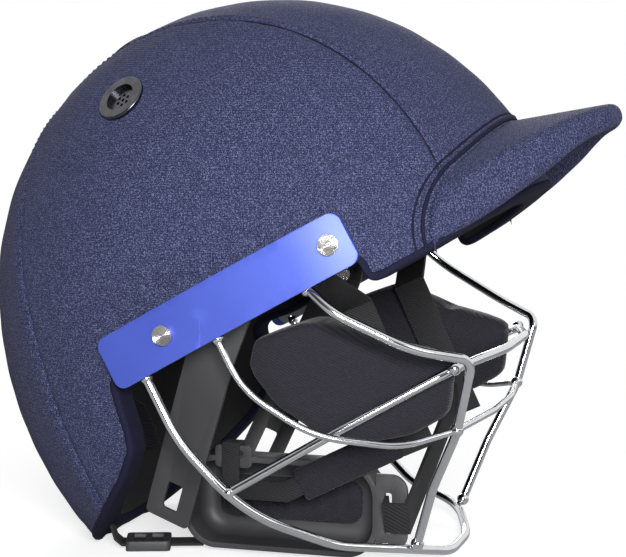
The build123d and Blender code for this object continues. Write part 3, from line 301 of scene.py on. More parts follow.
rim_corners = [share_place(*p) for p in [(1.30, 1.65), (0.95, 1.443), (0.675, 1.230), (0.508, 1.113)]]
rim_corners += [from_plate(plate_length * share, -rim_below_plate) for share in (0.45, -0.40)]
rim_corners += [share_place(*p) for p in [(-0.311, 0.748), (-0.261, 0.557), (-0.252, 0.480), (-0.304, 0.356),
                                          (-0.440, 0.157), (-0.576, 0.0)]]
rim_corners.append((dome_x - dome_radius - 60, 0))
bend = 4.8
rim_line = rounded(rim_corners, [bend, bend, bend * 2, bend, bend, bend, bend, bend, bend / 2, bend * 2,
                                 bend * 4, 0, 0])


def above_rim(x, z):
    """Distance above the rim's line in side view: below it is negative."""
    best = np.full(x.shape, 1e9)
    sign = np.ones(x.shape)
    for a, b in zip(rim_line[:-1], rim_line[1:]):
        run = b - a
        length = np.linalg.norm(run)
        if length < 1e-6:
            continue
        t = np.clip(((x - a[0]) * run[0] + (z - a[1]) * run[1]) / length**2, 0, 1)
        gap = np.hypot(x - a[0] - t * run[0], z - a[1] - t * run[1])
        side = (x - a[0]) * run[1] - (z - a[1]) * run[0]
        nearer = gap < best - 1e-9
        best = np.where(nearer, gap, best)
        sign = np.where(nearer, np.where(side >= 0, 1, -1), sign)
    return best * sign


seam_front, seam_back, seam_place = 67.0, 15.0, 0.72 * dome_radius
seam_slope = (seam_front - seam_back) / (seam_place + dome_radius)
far_outside = -50.0


def wedge(points):
    """How far a point lies inside the crown's wedge."""
    half = seam_front + (points[:, 0] - dome_x - seam_place) * seam_slope
    inside = (half - np.abs(points[:, 1])) / math.hypot(1, seam_slope)
    return np.where(points[:, 2] > dome_z, inside, far_outside)


oval_half_width, oval_half_height, oval_middle, oval_mean = 87.0, 135.0, 72.0, 98.0


def back_oval(points):
    """How far a point lies inside the back panel's oval."""
    reach = np.hypot(points[:, 1] / oval_half_width, (points[:, 2] - oval_middle) / oval_half_height)
    inside = (1 - reach) * oval_mean
    return np.where(points[:, 0] < dome_x - crown_hub, inside, far_outside)


def keep_side(mesh, rule):
    """Cuts a mesh along the line where a rule is zero, and keeps the side where it is above zero."""
    mesh.verts.ensure_lookup_table()
    spots = np.array([v.co for v in mesh.verts])
    value = rule(spots)
    value = np.where(np.abs(value) < 0.02, 0.02, value)
    mark = mesh.verts.layers.float.new("side")
    for vert, v in zip(mesh.verts, value):
        vert[mark] = v
    for edge in [e for e in mesh.edges if e.verts[0][mark] * e.verts[1][mark] < 0]:
        a, b = edge.verts
        share = a[mark] / (a[mark] - b[mark])
        made = bmesh.utils.edge_split(edge, a, share)[1]
        made[mark] = 0.0
    for face in list(mesh.faces):
        cut = [v for v in face.verts if v[mark] == 0.0]
        if len(cut) == 2 and any(v[mark] > 0 for v in face.verts) and any(v[mark] < 0 for v in face.verts):
            bmesh.utils.face_split(face, cut[0], cut[1])
    gone = [f for f in mesh.faces if sum(v[mark] for v in f.verts) < 0]
    bmesh.ops.delete(mesh, geom=gone, context="FACES")
    mesh.verts.layers.float.remove(mark)


def cover_relief(points):
    """How far the cloth stands off its plain form: sunk at seams, puffed beside them, puckered at plates."""
    x, y, z = points.T
    lift = 0.10 * np.sin(x * 0.21 + z * 0.13 + 0.8 * np.sin(y * 0.09)) + 0.08 * np.sin(z * 0.31 - x * 0.17)
    to_crown_seam = np.where(back_oval(points) > 0, -far_outside, np.abs(wedge(points)))
    for gap in (to_crown_seam, np.abs(back_oval(points))):
        lift += -1.1 * np.exp(-(gap / 1.0) ** 2) + 0.32 * np.exp(-((gap - 3.6) / 2.2) ** 2)
    along, up = by_plate(x, z)
    beside = np.clip((np.abs(y) - 70) / 20, 0, 1)
    above = np.exp(-((up - 15.5) / 4.5) ** 2) * (np.abs(along) < 64)
    ripple = np.sin(along * 0.55 + 1.7 * np.sin(along * 0.11)) * 0.45 + 0.25
    lift += beside * above * ripple
    end = np.exp(-((along - 62.5) / 2.4) ** 2) * np.exp(-((up + 1) / 11) ** 2)
    lift += beside * end * 1.5
    dart = np.exp(-((x - 77 - (z - 150) * 0.5) / 2.0) ** 2) * np.exp(-((z - 151) / 7.0) ** 2)
    lift += beside * dart * 0.8
    hem = above_rim(x, z)
    lift += -0.5 * np.exp(-((hem - 9.5) / 0.9) ** 2) * (hem > 0)
    return lift


def cloth_form(step):
    """The whole cover as a grid: turned over the dome, and on down the nape."""
    turns = np.radians(np.arange(-92, 232 + step, step))
    shares = np.sin(np.radians(np.arange(-90, 90 + step, step)))
    shares = shares * 0.35 + np.radians(np.arange(-90, 90 + step, step)) / (math.pi / 2) * 0.65
    height, across = section(shares)
    verts = []
    for turn in turns:
        nape = turn > math.pi
        hub, push = (nape_x, nape_radius - dome_radius) if nape else (dome_x, 0)
        reach = height + push
        x = hub + math.cos(turn) * reach
        x = np.minimum(x, dome_x) if nape else x
        verts.append(np.stack([x, across, dome_z + math.sin(turn) * reach], 1))
    count = len(shares)
    verts = np.concatenate(verts)
    faces = []
    for i in range(len(turns) - 1):
        for j in range(count - 1):
            a = i * count + j
            faces.append((a, a + 1, a + count + 1, a + count))
    return verts, faces


peak_slope, peak_reach, peak_rise, peak_half = math.radians(10.2), 155.0, 81.0, 5.5
peak_tip = np.array([dome_x + peak_reach, 0, dome_z + peak_rise])
arch_radius, shoulder_radius, shoulder_lean = 136.0, 35.0, math.radians(26.5)
arch_hub = peak_half - arch_radius
shoulder = ((arch_radius - shoulder_radius) * math.sin(shoulder_lean),
            arch_hub + (arch_radius - shoulder_radius) * math.cos(shoulder_lean))


def peak_gap(points):
    """How far a point lies outside the peak's upper face, which runs back into the dome."""
    ahead, up = points[:, 0] - peak_tip[0], points[:, 2] - peak_tip[2]
    rise = ahead * -math.sin(peak_slope) + up * math.cos(peak_slope)
    over = np.hypot(points[:, 1], rise - arch_hub) - arch_radius
    bend = np.hypot(np.abs(points[:, 1]) - shoulder[0], rise - shoulder[1]) - shoulder_radius
    gap = np.where(np.abs(points[:, 1]) < math.tan(shoulder_lean) * (rise - arch_hub), over, bend)
    gap = np.where(rise < shoulder[1], np.abs(points[:, 1]) - shoulder[0] - shoulder_radius, gap)
    return np.where(points[:, 0] > dome_x + 30, gap, 60.0), rise


def over_peak(points):
    """Above zero on the cloth that ends at the peak's root."""
    gap, rise = peak_gap(points)
    return gap + np.where(rise < shoulder[1], 2.7, 1.5)


under_flat, under_slope, under_square, brow_half_width, brow_foot, cloth_tuck = 20, 0.641, 0.842, 75, -50, 2.5


def below_peak(points):
    """Above zero on the strip of cloth under the peak, whose underside falls to both sides."""
    gap, rise = peak_gap(points)
    under = -peak_half - under_slope * np.maximum(np.abs(points[:, 1]) - under_flat, 0)
    free = (gap < -far_outside) & (np.abs(points[:, 1]) < brow_half_width) & (rise > brow_foot)
    return np.where(free, (under - rise) * under_square + cloth_tuck, far_outside)


vent_lean, centre_vent_lean, vent_spread, vent_hole = math.radians(118.3), math.radians(123.4), 74.6, 9.0
vent_reach = crown_hub + math.sqrt(crown_arc**2 - vent_spread**2)
vent_spots = [(dome_x + reach * math.cos(lean), y, dome_z + reach * math.sin(lean))
              for reach, lean, y in ((vent_reach, vent_lean, -vent_spread),
                                     (vent_reach, vent_lean, vent_spread),
                                     (dome_radius, centre_vent_lean, 0.0))]


def clear_of_vents(points):
    """Above zero outside the holes for the three vents."""
    return np.min([np.linalg.norm(points - np.array(spot), axis=1) for spot in vent_spots], axis=0) - vent_hole


def knit(name, low, high, pitch, sheen):
    """Fine heathered jersey: rows of small loops, lighter fibres in it, and a soft sheen."""
    cloth, shade, main, where = finish(name, Sheen_Weight=sheen, Sheen_Roughness=0.35)
    main.inputs["Specular IOR Level"].default_value = 0.25
    main.inputs["Sheen Tint"].default_value = (0.55, 0.55, 0.8, 1)
    grid = shade.node("UVMap", {"uv_map": "knit"}, {})
    along = shade.node("SeparateXYZ", {}, {0: grid}, 0)
    across = Shade(shade.tree, along.socket.node.outputs[1])
    row = shade.math("SINE", across * (2 * math.pi / pitch))
    loop = shade.math("SINE", along * (2 * math.pi / pitch * 1.25) + row * 1.3)
    fibre = speckle(shade, where, 1800, 3, 0.65)
    heather = shade.node("MapRange", {}, {"Value": fibre, "From Min": 0.48, "From Max": 0.68})
    drift = speckle(shade, where, 26, 3, 0.6)
    dark = drift.between(low, [v * 1.35 for v in low])
    yarn = shade.mix(heather * 0.8 + row * 0.05 + loop * 0.05, dark, (*high, 1))
    feed(shade, main, Base_Color=yarn, Roughness=0.78 + fibre * 0.2,
         Normal=bumped(shade, row * 0.3 + loop * 0.28 + fibre * 0.7, 0.00022, 0.9))
    return cloth


navy = knit("navy_knit", (0.010, 0.013, 0.042), (0.165, 0.18, 0.33), pitch=0.95, sheen=0.05)
form_verts, form_faces = cloth_form(0.8)


def lay_weave(made, u, v):
    """Writes a weave's columns and rows, in millimetres, on a piece."""
    sheet = made.data.uv_layers.new(name="knit")
    corner = np.zeros(len(made.data.loops), int)
    made.data.loops.foreach_get("vertex_index", corner)
    sheet.data.foreach_set("uv", np.stack([u, v], 1)[corner].ravel())


cloth_depth, hem_cover = 1.25, 2.0


def cover_panel(name, rules):
    """One panel of the cover, cut from the whole form along its seams and the rim."""
    mesh = bmesh.new()
    spots = [mesh.verts.new(p) for p in form_verts]
    for f in form_faces:
        mesh.faces.new([spots[i] for i in f])
    bmesh.ops.remove_doubles(mesh, verts=mesh.verts, dist=0.01)
    keep_side(mesh, lambda p: above_rim(p[:, 0], p[:, 2]) - hem_cover)
    for rule in rules:
        keep_side(mesh, rule)
    loose = [v for v in mesh.verts if not v.link_faces]
    bmesh.ops.delete(mesh, geom=loose, context="VERTS")
    mesh.verts.index_update()
    verts = np.array([v.co for v in mesh.verts])
    faces = [[v.index for v in f.verts] for f in mesh.faces]
    mesh.free()
    normals = wall_normal(verts)
    made = piece(name, verts + normals * cover_relief(verts)[:, None], faces, navy)
    x, y, z = verts.T
    turn = np.arctan2(z - dome_z, x - dome_x)
    turn = np.where(turn < -2.2, turn + 2 * math.pi, turn)
    lay_weave(made, *((turn * 110.0, y * 1.2) if "centre" in name else (y, z) if "back" in name else (x, z)))
    thick = made.modifiers.new("cloth", "SOLIDIFY")
    thick.thickness, thick.offset = cloth_depth * mm, -1
    return made


top_rules = [over_peak, clear_of_vents]
side_rules = top_rules + [lambda p: -wedge(p), lambda p: -back_oval(p)]
right_side = cover_panel("side_panel_right", side_rules + [lambda p: -p[:, 1]])
left_side = cover_panel("side_panel_left", side_rules + [lambda p: p[:, 1]])
centre_panel = cover_panel("centre_panel", top_rules + [wedge, lambda p: -back_oval(p)])
back_panel = cover_panel("back_panel", [back_oval, clear_of_vents])
brow_strip = cover_panel("brow_strip", [below_peak, lambda p: p[:, 0] - dome_x - 30])
for made, node in ((right_side, "cover_side_right"), (left_side, "cover_side_left"),
                   (centre_panel, "cover_centre_panel"), (back_panel, "cover_back_panel"),
                   (brow_strip, "cover_brow")):
    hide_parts(node)


def along_line(line, step):
    """Points at an even step along a 3-D line, and the line's direction at each."""
    line = np.asarray(line, float)
    runs = np.concatenate([[0], np.cumsum(np.linalg.norm(np.diff(line, axis=0), axis=1))])
    marks = np.arange(step / 2, runs[-1], step)
    spots = np.stack([np.interp(marks, runs, line[:, k]) for k in range(3)], 1)
    ahead = np.stack([np.interp(marks + 0.3, runs, line[:, k]) for k in range(3)], 1)
    behind = np.stack([np.interp(marks - 0.3, runs, line[:, k]) for k in range(3)], 1)
    run = ahead - behind
    return spots, run / np.maximum(np.linalg.norm(run, axis=1), 1e-9)[:, None]


stitch_rings = ((-0.5, 0.35, -0.12), (-0.3, 1.0, 0.10), (0.0, 1.1, 0.18), (0.3, 1.0, 0.10), (0.5, 0.35, -0.12))


def stitches(name, lines, material, length, pitch, lift, thick=0.28):
    """A row of short sewn stitches along each line of points on the cloth."""
    verts, faces = [], []
    for line, normals in lines:
        spots, runs = along_line(line, pitch)
        whole = np.concatenate([[0], np.cumsum(np.linalg.norm(np.diff(line, axis=0), axis=1))])
        marks = np.arange(pitch / 2, whole[-1], pitch)
        outs = np.stack([np.interp(marks, whole, normals[:, k]) for k in range(3)], 1)
        for spot, run, out in zip(spots, runs, outs):
            out = out / np.linalg.norm(out)
            side = np.cross(run, out)
            base = len(verts)
            for t, size, rise in stitch_rings:
                for k in range(6):
                    turn = math.pi / 3 * k
                    verts.append(spot + run * t * length + out * (lift + rise + math.sin(turn) * thick * size)
                                 + side * math.cos(turn) * thick * size)
            for r in range(4):
                for k in range(6):
                    a, b = base + r * 6 + k, base + r * 6 + (k + 1) % 6
                    faces.append((a, b, b + 6, a + 6))
            faces.append(tuple(base + k for k in reversed(range(6))))
            faces.append(tuple(base + 24 + k for k in range(6)))
    return piece(name, verts, faces, material)


def on_wall(x, y, z):
    points = np.stack([x, y, z], 1)
    return points, wall_normal(points)


thread, shade, main, where = finish("navy_thread", Base_Color=(0.014, 0.014, 0.042), Roughness=0.7,
                                    Sheen_Weight=0.1)
feed(shade, main, Normal=bumped(shade, speckle(shade, where, 2500), 0.0001))


def back_seam(spread):
    """The back panel's edge, as a line on the wall from one side's rim over the top to the other's."""
    turn = np.radians(np.linspace(-34, 214, 400))
    y, z = (oval_half_width + spread) * np.cos(turn), oval_middle + (oval_half_height + spread) * np.sin(turn)
    height = crown_hub + np.sqrt(np.maximum(crown_arc**2 - y**2, 0))
    x = np.where(z > dome_z, dome_x - np.sqrt(np.maximum(height**2 - (z - dome_z) ** 2, 0)),
                 nape_x - np.sqrt(np.maximum((height + nape_radius - dome_radius) ** 2 - (z - dome_z) ** 2, 0)))
    keep = above_rim(x, z) > 4
    return on_wall(x[keep], y[keep], z[keep])


def crown_seam(side, spread):
    """One edge of the crown's wedge, as a line on the wall from the peak to the back panel."""
    x = np.linspace(dome_x - 118, dome_x + 108, 300)
    y = side * (seam_front + spread + (x - dome_x - seam_place) * seam_slope)
    height = crown_hub + np.sqrt(np.maximum(crown_arc**2 - y**2, 0))
    z = dome_z + np.sqrt(np.maximum(height**2 - (x - dome_x) ** 2, 0))
    points, normals = on_wall(x, y, z)
    keep = (back_oval(points) < -3) & (peak_gap(points)[0] > 5)
    return points[keep], normals[keep]


back_thread = stitches("back_stitches", [back_seam(-4.5)], thread, length=1.7, pitch=3.4, lift=0.3)
crown_thread = stitches("crown_stitches", [crown_seam(side, -2.6) for side in (-1, 1)], thread,
                        length=2.2, pitch=3.3, lift=0.3)

# Peak: the shell's own visor, wrapped above and below in the same jersey. The cloth is drawn tight over
# a rounded nose and tucked in at the root.
def fine_copy(node, name, voxel, material, smooth, body="helmet"):
    """A CAD solid's form, remeshed finely and softened, to stand for it."""
    mesh = bmesh.new()
    mesh.from_mesh(nodes[node].data)
    bmesh.ops.remove_doubles(mesh, verts=mesh.verts, dist=1e-6)
    data = bpy.data.meshes.new(name)
    mesh.to_mesh(data)
    mesh.free()
    made = bpy.data.objects.new(name, data)
    scene.collection.objects.link(made)
    fine = made.modifiers.new("fine", "REMESH")
    fine.mode, fine.voxel_size = "VOXEL", voxel * mm
    soft = made.modifiers.new("soft", "SMOOTH")
    soft.factor, soft.iterations = 0.5, smooth
    drawn = bpy.context.evaluated_depsgraph_get()
    settled = bpy.data.meshes.new_from_object(made.evaluated_get(drawn))
    made.modifiers.clear()
    made.data = settled
    settled.name = name
    settled.materials.clear()
    settled.materials.append(material)
    settled.polygons.foreach_set("use_smooth", [True] * len(settled.polygons))
    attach(made, body)
    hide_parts(node)
    return made


def points_of(made):
    spots = np.zeros(len(made.data.vertices) * 3)
    made.data.vertices.foreach_get("co", spots)
    return spots.reshape(-1, 3) / mm


peak = fine_copy("peak_cover", "peak_cloth", 1.1, navy, 3)
spots = points_of(peak)
run = (spots - peak_tip) @ [math.cos(peak_slope), 0, math.sin(peak_slope)]
arc = np.arctan2(spots[:, 1], peak_gap(spots)[1] - arch_hub) * arch_radius
lay_weave(peak, arc, run)

# Piping: a narrow strip of dark jersey, folded over and sewn round the peak's root where its cloth meets
# the crown's. A thin edge runs beside it, with one line of small stitches between the two.
def tube(name, line, size, material, ups, flat, sides=10):
    """A flattened bead along a line of points."""
    line = np.asarray(line, float)
    ahead = np.gradient(line, axis=0)
    ahead /= np.linalg.norm(ahead, axis=1)[:, None]
    side = np.cross(ahead, ups)
    side /= np.linalg.norm(side, axis=1)[:, None]
    ups = np.cross(side, ahead)
    turns = np.linspace(0, 2 * math.pi, sides, endpoint=False)
    verts = (line[:, None] + side[:, None] * np.cos(turns)[None, :, None] * size
             + ups[:, None] * np.sin(turns)[None, :, None] * size * flat).reshape(-1, 3)
    faces = []
    rings = len(line)
    for i in range(rings - 1):
        for k in range(sides):
            a, b = i * sides + k, i * sides + (k + 1) % sides
            faces.append((a, b, b + sides, a + sides))
    faces.append(tuple(reversed(range(sides))))
    faces.append(tuple((rings - 1) * sides + k for k in range(sides)))
    return piece(name, verts, faces, material)


def peak_root(rise):
    """The line on the dome where the peak's upper face meets it, a little above that face."""
    arc = np.linspace(0, shoulder_lean, 90)
    turn = np.linspace(shoulder_lean, math.pi / 2, 90)
    y = np.concatenate([(arch_radius + rise) * np.sin(arc),
                        shoulder[0] + (shoulder_radius + rise) * np.sin(turn)])
    up = np.concatenate([arch_hub + (arch_radius + rise) * np.cos(arc),
                         shoulder[1] + (shoulder_radius + rise) * np.cos(turn)])
    y, up = np.append(y, [y[-1]] * 12), np.append(up, shoulder[1] - np.arange(1, 13) * 2.0)
    y, up = np.concatenate([-y[:0:-1], y]), np.concatenate([up[:0:-1], up])
    reach = crown_hub + np.sqrt(crown_arc**2 - y**2)
    lift = peak_rise * math.cos(peak_slope) - peak_reach * math.sin(peak_slope)
    lean = peak_slope + np.arcsin((up + lift) / reach)
    x, z = dome_x + reach * np.cos(lean), dome_z + reach * np.sin(lean)
    keep = above_rim(x, z) > 1.5
    return on_wall(x[keep], y[keep], z[keep])


trim, shade, main, where = finish("dark_trim", Roughness=0.9)
main.inputs["Specular IOR Level"].default_value = 0.15
grain = speckle(shade, where, 1300, 3)
feed(shade, main, Base_Color=grain.between((0.004, 0.004, 0.012), (0.016, 0.016, 0.042)),
     Normal=bumped(shade, grain, 0.0002))
root_low, low_normals = peak_root(1.0)
root_high, high_normals = peak_root(3.5)
piping = tube("piping", root_low + low_normals * 0.35, 0.85, trim, flat=0.8, ups=low_normals)
piping_edge = tube("piping_edge", root_high + high_normals * 0.15, 0.5, trim, flat=0.7, ups=high_normals)
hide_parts("peak_piping")
piping_thread = stitches("piping_stitches", [peak_root(2.3)], thread, length=1.5, pitch=2.4, lift=0.7)

# Hem: the cover's edge in dark jersey, folded under the rim of the shell and the liner and stuck down
# inside, so that it closes the wall all round.
def offset_line(line, gap):
    """The rim's side-view line moved up into the cloth."""
    run = np.gradient(line, axis=0)
    run /= np.maximum(np.linalg.norm(run, axis=1), 1e-9)[:, None]
    return line + np.stack([run[:, 1], -run[:, 0]], 1) * gap


def rim_ring(depth, gap, count=700):
    """The rim as a closed loop at one depth in the wall: down one side and back up the other."""
    dense = []
    for a, b in zip(rim_line[:-1], rim_line[1:]):
        steps = max(1, int(np.linalg.norm(b - a) / 0.4))
        dense += [a + (b - a) * k / steps for k in range(steps)]
    flat = np.array(dense)
    keep = np.concatenate([[True], np.linalg.norm(np.diff(flat, axis=0), axis=1) > 1e-6])
    flat = offset_line(flat[keep], gap)
    y = wall_y(flat[:, 0], flat[:, 1], depth)
    inside = np.where(y > 0.5)[0]
    flat, y = flat[inside[0]:inside[-1] + 1], y[inside[0]:inside[-1] + 1]
    half = np.stack([flat[:, 0], -y, flat[:, 1]], 1)
    runs = np.concatenate([[0], np.cumsum(np.linalg.norm(np.diff(half, axis=0), axis=1))])
    marks = np.linspace(0, runs[-1], count // 2)
    half = np.stack([np.interp(marks, runs, half[:, k]) for k in range(3)], 1)
    other = half[::-1] * [1, -1, 1]
    return np.concatenate([half, other])


def ring_band(name, rings, material):
    """Joins loops of points into a closed band."""
    count = len(rings[0])
    faces = []
    for r in range(len(rings)):
        for k in range(count):
            a, b = r * count + k, r * count + (k + 1) % count
            s = (r + 1) % len(rings) * count
            faces.append((a, b, s + (k + 1) % count, s + k))
    return piece(name, np.concatenate(rings), faces, material)


hem_profile = [(1.2, 3.4), (-0.2, 3.2), (-0.75, 2.4), (-0.75, 1.2), (0.0, 0.35), (1.2, 0.05), (5, 0.0),
               (10, 0.0), (13, 0.08), (14.2, 0.4), (14.8, 1.2), (14.9, 2.4), (14.5, 3.2), (13.2, 3.4)]
hem = ring_band("rim_hem", [rim_ring(depth, gap) for depth, gap in hem_profile], trim)
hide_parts("rim_binding")

# Seams: where two panels meet, their turned edges make a narrow dark ditch over the shell. For each
# panel, its area and its longest reach with an allowance are worked out.
for side, panel in ((-1, right_side), (1, left_side)):
    line, normals = crown_seam(side, 0)
    tube(f"seam_{panel.name}", line[::3] - normals[::3] * 0.75, 0.5, trim, flat=0.7, ups=normals[::3], sides=6)
for made, extra in ((right_side, [hem]), (left_side, []),
                    (centre_panel, [crown_thread, piping, piping_edge, piping_thread]),
                    (back_panel, [back_thread]), (brow_strip, [])):
    area, allowance, filled = sum(face.area for face in made.data.polygons), 1.15, 0.7
    length = float(np.ptp(points_of(made), axis=0).max()) * mm * allowance

# Inside: a black foam liner, and soft comfort pads stuck to it. The pads are foam under brushed cloth,
# swollen a little by simulation.
foam, shade, main, where = finish("black_foam", Roughness=0.9)
cells = shade.node("TexVoronoi", {}, {"Vector": where, "Scale": 700})
feed(shade, main, Base_Color=speckle(shade, where, 60, 4).between((0.008, 0.008, 0.009), (0.022, 0.022, 0.025)),
     Normal=bumped(shade, cells, 0.0003, 0.6))
for part in ("front", "crown", "rear", "right", "left"):
    dress(f"liner_{part}", foam)


def swell(made, pressure, cap, frames=20):
    """Blows a closed cloth form up a little, holds back any point that moves too far, and fixes the result."""
    start = points_of(made)
    cloth = made.modifiers.new("cloth", "CLOTH")
    cloth.settings.use_pressure = True
    cloth.settings.uniform_pressure_force = pressure
    cloth.settings.effector_weights.gravity = 0
    cloth.point_cache.frame_start, cloth.point_cache.frame_end = 1, frames
    for frame_number in range(1, frames + 1):
        scene.frame_set(frame_number)
    drawn = bpy.context.evaluated_depsgraph_get()
    moved = np.zeros(len(start) * 3)
    made.evaluated_get(drawn).data.vertices.foreach_get("co", moved)
    made.modifiers.clear()
    scene.frame_set(1)
    shift = moved.reshape(-1, 3) / mm - start
    length = np.maximum(np.linalg.norm(shift, axis=1), 1e-9)
    shift *= np.minimum(1, cap / length)[:, None]
    made.data.vertices.foreach_set("co", ((start + shift) * mm).ravel())
    made.data.update()


brushed, shade, main, where = finish("brushed_knit", Sheen_Weight=0.12, Sheen_Roughness=0.4)
main.inputs["Specular IOR Level"].default_value = 0.2
ribs = shade.node("Mapping", {}, {"Vector": where, "Rotation": (0, math.radians(-28), 0), "Scale": (1, 1, 1)})
fall = Shade(shade.tree, shade.node("SeparateXYZ", {}, {0: ribs}).socket.node.outputs[2])
row = shade.math("SINE", fall * (2 * math.pi / 0.0011))
fluff = speckle(shade, where, 1200, 3, 0.6)
feed(shade, main, Base_Color=(fluff * 0.8 + row * 0.1).between((0.007, 0.007, 0.010), (0.034, 0.032, 0.044)),
     Roughness=0.84 + fluff * 0.15, Normal=bumped(shade, row * 0.35 + fluff, 0.00025, 0.9))
for node, name in (("crown_pad", "crown_cushion"), ("brow_pad", "brow_cushion"), ("rear_pad", "rear_cushion"),
                   ("side_pad_left", "side_cushion_left"), ("side_pad_right", "side_cushion_right")):
    pad = fine_copy(node, name, 3.0, brushed, 8)
    swell(pad, 3.0, 1.0)

# Vents: dark chromed metal eyelets with a pierced disc sunk in the flange. Each barrel goes through the
# cover, shell and liner, and a ring turned over its end holds it from the inside.
smoked, shade, main, where = finish("smoked_chrome", Metallic=1.0)
haze = speckle(shade, where, 240, 3)
feed(shade, main, Base_Color=haze.between((0.05, 0.05, 0.06), (0.16, 0.16, 0.18)),
     Roughness=0.18 + haze * 0.16)
dress("vent_eyelets", smoked)
dress("vent_retainers", smoked)

# Side plates: anodised blue strips with a bevelled edge, over the guard's steel ends. Two turned screws
# go through each into flanged nuts.
def bevelled(node, name, width, material, body="helmet"):
    """A rigid CAD form with its sharp edges rounded off, to stand for it."""
    mesh = bmesh.new()
    mesh.from_mesh(nodes[node].data)
    bmesh.ops.remove_doubles(mesh, verts=mesh.verts, dist=1e-6)
    bmesh.ops.dissolve_degenerate(mesh, dist=1e-6, edges=mesh.edges)
    data = bpy.data.meshes.new(name)
    mesh.to_mesh(data)
    mesh.free()
    data.materials.append(material)
    data.polygons.foreach_set("use_smooth", [True] * len(data.polygons))
    made = bpy.data.objects.new(name, data)
    scene.collection.objects.link(made)
    edge = made.modifiers.new("edge", "BEVEL")
    edge.width, edge.segments, edge.limit_method = width * mm, 3, "ANGLE"
    edge.angle_limit = math.radians(30)
    edge.harden_normals = True
    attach(made, body)
    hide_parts(node)
    return made


blue, shade, main, where = finish("blue_plate", Metallic=0.4, Coat_Weight=0.12, Coat_Roughness=0.3)
haze = speckle(shade, where, 40, 3, 0.55)
scuff = speckle(shade, where, 900, 2, 0.6)
feed(shade, main, Base_Color=haze.between((0.050, 0.085, 0.46), (0.075, 0.115, 0.54)),
     Roughness=0.44 + haze * 0.12, Normal=bumped(shade, scuff, 0.00006, 0.5))
steel, shade, main, where = finish("strip_steel", Metallic=1.0)
drag = shade.node("Mapping", {}, {"Vector": where, "Rotation": (0, plate_turn, 0), "Scale": (40, 900, 900)})
lines = speckle(shade, drag, 1.0, 2)
feed(shade, main, Base_Color=lines.between((0.36, 0.36, 0.38), (0.55, 0.55, 0.57)),
     Roughness=0.25 + lines * 0.25)
for side in ("left", "right"):
    bevelled(f"side_plate_{side}", f"blue_plate_{side}", 0.55, blue)
    dress(f"mount_strip_{side}", steel)
turned, shade, main, where = finish("turned_screw", Metallic=1.0)
ring, screws_along, ring_pitch = None, (-31.6, 45.0), 0.0005
for along in screws_along:
    x, z = from_plate(along, 0)
    flat = shade.node("VectorMath", {"operation": "SUBTRACT"}, {0: where, 1: (x * mm, 0, z * mm)})
    flat = shade.node("VectorMath", {"operation": "MULTIPLY"}, {0: flat, 1: (1, 0, 1)})
    gap = shade.node("VectorMath", {"operation": "LENGTH"}, {0: flat}, 1)
    ring = gap if ring is None else shade.math("MINIMUM", ring, gap)
haze = speckle(shade, where, 700, 2)
feed(shade, main, Base_Color=haze.between((0.50, 0.48, 0.46), (0.70, 0.68, 0.66)),
     Roughness=0.16 + haze * 0.14,
     Normal=bumped(shade, shade.math("SINE", ring * (2 * math.pi / ring_pitch)), 0.00012, 0.8))
dress("plate_screws", turned)
dress("plate_nuts", steel)

# Face guard: round steel wires, bent to shape and welded where they cross, then chromed bright. The beads
# of the welds are chromed with them, and the ends are welded to the strips under the plates.
chrome, shade, main, where = finish("bright_chrome", Metallic=1.0)
haze = speckle(shade, where, 130, 4)
feed(shade, main, Base_Color=haze.between((0.66, 0.67, 0.70), (0.78, 0.79, 0.82)),
     Roughness=0.05 + haze * 0.10,
     Normal=bumped(shade, speckle(shade, where, 500, 2), 0.00005, 0.4))
for node in ("grille_lower_wire", "grille_middle_wire", "grille_thin_wire", "grille_upright_left",
             "grille_upright_right", "grille_welds"):
    dress(node, chrome)

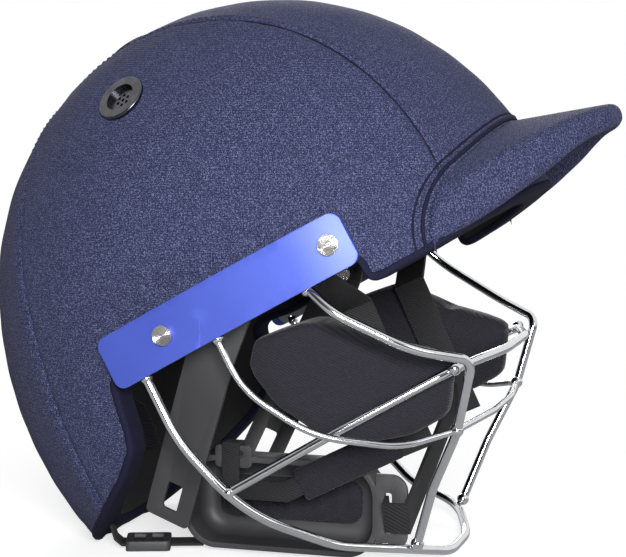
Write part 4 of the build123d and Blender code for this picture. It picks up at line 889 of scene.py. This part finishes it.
# Cheek pads: foam cut to the jaw's shape under the same brushed knit, one behind the guard on each side.
# They are blown up a little by simulation, and stay inside the guard.
for side in ("left", "right"):
    pad = fine_copy(f"cheek_pad_{side}", f"cheek_cushion_{side}", 2.2, brushed, 14)
    swell(pad, 3.0, 2.0)
    round_up = pad.modifiers.new("round", "SUBSURF")
    round_up.levels = round_up.render_levels = 1

# Hanger tabs and rivets: moulded grey plastic straps with a slot at the foot. Each hangs on one turned
# steel rivet through the liner, on which it swings.
grey, shade, main, where = finish("moulded_grey")
grain = speckle(shade, where, 1100, 3)
cloud = speckle(shade, where, 30, 3)
feed(shade, main, Base_Color=cloud.between((0.028, 0.028, 0.031), (0.05, 0.05, 0.054)),
     Roughness=0.42 + cloud * 0.2, Normal=bumped(shade, grain, 0.00012, 0.7))
for side in ("left", "right"):
    bevelled(f"hanger_tab_{side}", f"ear_tab_{side}", 0.5, grey, f"tab_{side}")
dress("tab_rivets", turned)
dress("strap_rivets", turned)

# Chin harness: black woven webbing, a padded sleeve on the near side, and a moulded cup with a slotted
# frame and a soft pad. All of it swings on the two rivets in the temples.
webbing, shade, main, where = finish("black_webbing", Roughness=0.8)
turned_where = shade.node("Mapping", {}, {"Vector": where, "Rotation": (0.3, 0.6, 0.2)})
weave = shade.node("TexWave", {"bands_direction": "DIAGONAL"},
                   {"Vector": turned_where, "Scale": 480, "Distortion": 0.6}, 1)
feed(shade, main, Base_Color=weave.between((0.004, 0.004, 0.005), (0.013, 0.013, 0.015)),
     Normal=bumped(shade, weave, 0.0002, 0.8))
for node, name in (("chin_strap_left", "webbing_left"), ("chin_strap_right", "webbing_right")):
    bevelled(node, name, 0.45, webbing, "chin_harness")
sleeve = fine_copy("strap_sleeve", "padded_sleeve", 0.8, brushed, 6, "chin_harness")
bevelled("chin_cup", "moulded_cup", 0.6, grey, "chin_harness")
cup_pad = fine_copy("chin_cup_pad", "cup_cushion", 0.7, brushed, 4, "chin_harness")

# Rear strap and its ladder lock: a flat strip of the same webbing that comes out of the nape and lies on
# the table, and a small moulded buckle that slides on it.
bevelled("rear_strap", "rear_webbing", 0.3, webbing)
bevelled("ladder_lock", "buckle_body", 0.4, grey, "buckle")
